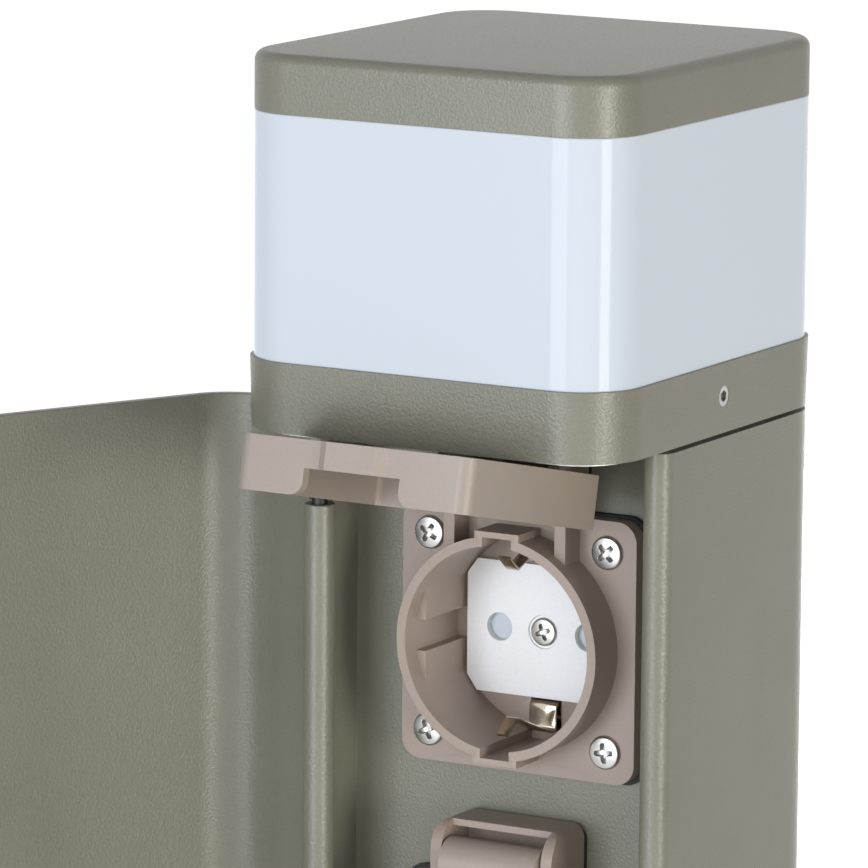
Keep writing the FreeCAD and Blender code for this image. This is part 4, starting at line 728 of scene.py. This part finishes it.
def set_lamps(studio):
    """A cool lamp in front, a warm one at the right, and others between them, at the left and behind.

    The one between and the one behind leave no highlight.
    """
    soft_lamp("front_lamp", studio.key, azimuth=-10.0, height=0.5, away=1.9, size=(0.9, 1.0), tint=COOL)
    soft_lamp("side_lamp", studio.side, azimuth=68.0, height=0.31, away=1.7, size=(0.5, 0.6), tint=WARM)
    soft_lamp("left_lamp", studio.left, azimuth=-55.0, height=0.6, away=2.2, size=(1.2, 1.2), tint=AMBER)
    back = soft_lamp("back_lamp", studio.back, azimuth=200.0, height=0.21, away=2.0, size=(1.6, 0.4))
    fill = soft_lamp("fill_lamp", studio.fill, azimuth=28.0, height=0.6, away=1.9, size=(1.0, 1.2))
    back.visible_glossy = False
    fill.visible_glossy = False


def set_even_light(strength):
    """Even light on the post, and plain white wherever the camera sees past it."""
    world = bpy.data.worlds.new("studio")
    world.use_nodes = True
    shader = Shader(world.node_tree)
    even = world.node_tree.nodes["Background"]
    even.inputs["Color"].default_value = (1.0, 0.975, 0.94, 1.0)
    even.inputs["Strength"].default_value = strength
    white = shader.node("ShaderNodeBackground", {"Color": WHITE, "Strength": 1.0})
    mixed = shader.node("ShaderNodeMixShader", {0: seen_directly(shader)})
    shader.feed(mixed.inputs[1], even.outputs[0])
    shader.feed(mixed.inputs[2], white.outputs[0])
    shader.feed(world.node_tree.nodes["World Output"].inputs["Surface"], mixed.outputs[0])
    bpy.context.scene.world = world


def floor_material():
    """A pale floor that keeps shadows and reads as white to the camera."""
    material = bpy.data.materials.new("pale_floor")
    material.use_nodes = True
    shader = Shader(material.node_tree)
    surface = material.node_tree.nodes["Principled BSDF"]
    surface.inputs["Base Color"].default_value = (0.8, 0.8, 0.8, 1.0)
    surface.inputs["Roughness"].default_value = 0.9
    surface.inputs["Specular IOR Level"].default_value = 0.0
    surface.inputs["Emission Color"].default_value = WHITE
    place = shader.node("ShaderNodeTexCoord").outputs["Object"]
    away = shader.node("ShaderNodeVectorMath", {0: place}, operation="LENGTH").outputs["Value"]
    reach = {"Value": away, "From Min": 0.25, "From Max": 1.2, "To Min": 0.62, "To Max": 1.0}
    own = shader.node("ShaderNodeMapRange", reach, interpolation_type="SMOOTHSTEP").outputs["Result"]
    shader.feed(surface.inputs["Emission Strength"], shader.math("MULTIPLY", seen_directly(shader), own))
    return material


def lay_floor():
    """A wide round floor just under the base plate."""
    radius, drop = 9.0, 0.0002
    turn = np.linspace(0.0, 2.0 * np.pi, 96, endpoint=False)
    rim = np.stack([np.cos(turn), np.sin(turn), np.zeros_like(turn)], axis=1) * radius
    rim[:, 2] = -drop
    mesh = bpy.data.meshes.new("floor")
    mesh.from_pydata(rim.tolist(), [], [list(range(len(rim)))])
    mesh.materials.append(floor_material())
    floor = bpy.data.objects.new("floor", mesh)
    bpy.context.scene.collection.objects.link(floor)


def seen_directly(shader):
    """1 for rays of the camera, and for those that glossy and clear surfaces send on."""
    path = shader.node("ShaderNodeLightPath").outputs
    most = shader.math("MAXIMUM", path["Is Camera Ray"], path["Is Glossy Ray"])
    return shader.math("MAXIMUM", most, path["Is Transmission Ray"])


class LAMP_OT_stage(PieceOperator, Operator):
    """The floor, the lamps, the even light and the camera"""

    bl_idname = "lamp_post.stage"
    bl_label = "Stage"

    def execute(self, context):
        studio = context.scene.post_studio
        lay_floor()
        set_lamps(studio)
        set_even_light(studio.ambient)
        set_camera()
        context.scene.view_settings.view_transform = "Standard"
        return {"FINISHED"}


class LAMP_PT_panel(Panel):
    """Lists the lamp post's sizes, colours and pieces"""

    bl_idname = "LAMP_PT_panel"
    bl_label = "Lamp post"
    bl_space_type = "VIEW_3D"
    bl_region_type = "UI"
    bl_category = "Lamp post"

    def draw(self, context):
        for name in SETTINGS:
            settings = getattr(context.scene, name)
            box = self.layout.box()
            box.label(text=type(settings).__name__)
            for label in type(settings).__annotations__:
                box.prop(settings, label)
        for operator in OPERATORS:
            self.layout.operator(operator.bl_idname)


SETTINGS = {
    "post_paint": PostPaint,
    "post_plastics": Plastics,
    "post_metals": Metals,
    "post_easing": Easing,
    "post_studio": Studio,
}
OPERATORS = (
    LAMP_OT_stage, LAMP_OT_column, LAMP_OT_foot, LAMP_OT_door, LAMP_OT_sockets, LAMP_OT_lids, LAMP_OT_head,
    LAMP_OT_light,
)


def register():
    for kind in (*SETTINGS.values(), *OPERATORS, LAMP_PT_panel):
        bpy.utils.register_class(kind)
    for name, kind in SETTINGS.items():
        setattr(bpy.types.Scene, name, PointerProperty(type=kind))


def unregister():
    for name in SETTINGS:
        delattr(bpy.types.Scene, name)
    for kind in (LAMP_PT_panel, *OPERATORS[::-1], *SETTINGS.values()):
        bpy.utils.unregister_class(kind)


def main():
    register()
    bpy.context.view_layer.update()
    bpy.ops.lamp_post.stage()
    bpy.ops.lamp_post.column()
    bpy.ops.lamp_post.foot()
    bpy.ops.lamp_post.door()
    bpy.ops.lamp_post.sockets()
    bpy.ops.lamp_post.lids()
    bpy.ops.lamp_post.head()
    bpy.ops.lamp_post.light()


if __name__ == "__main__":
    main()
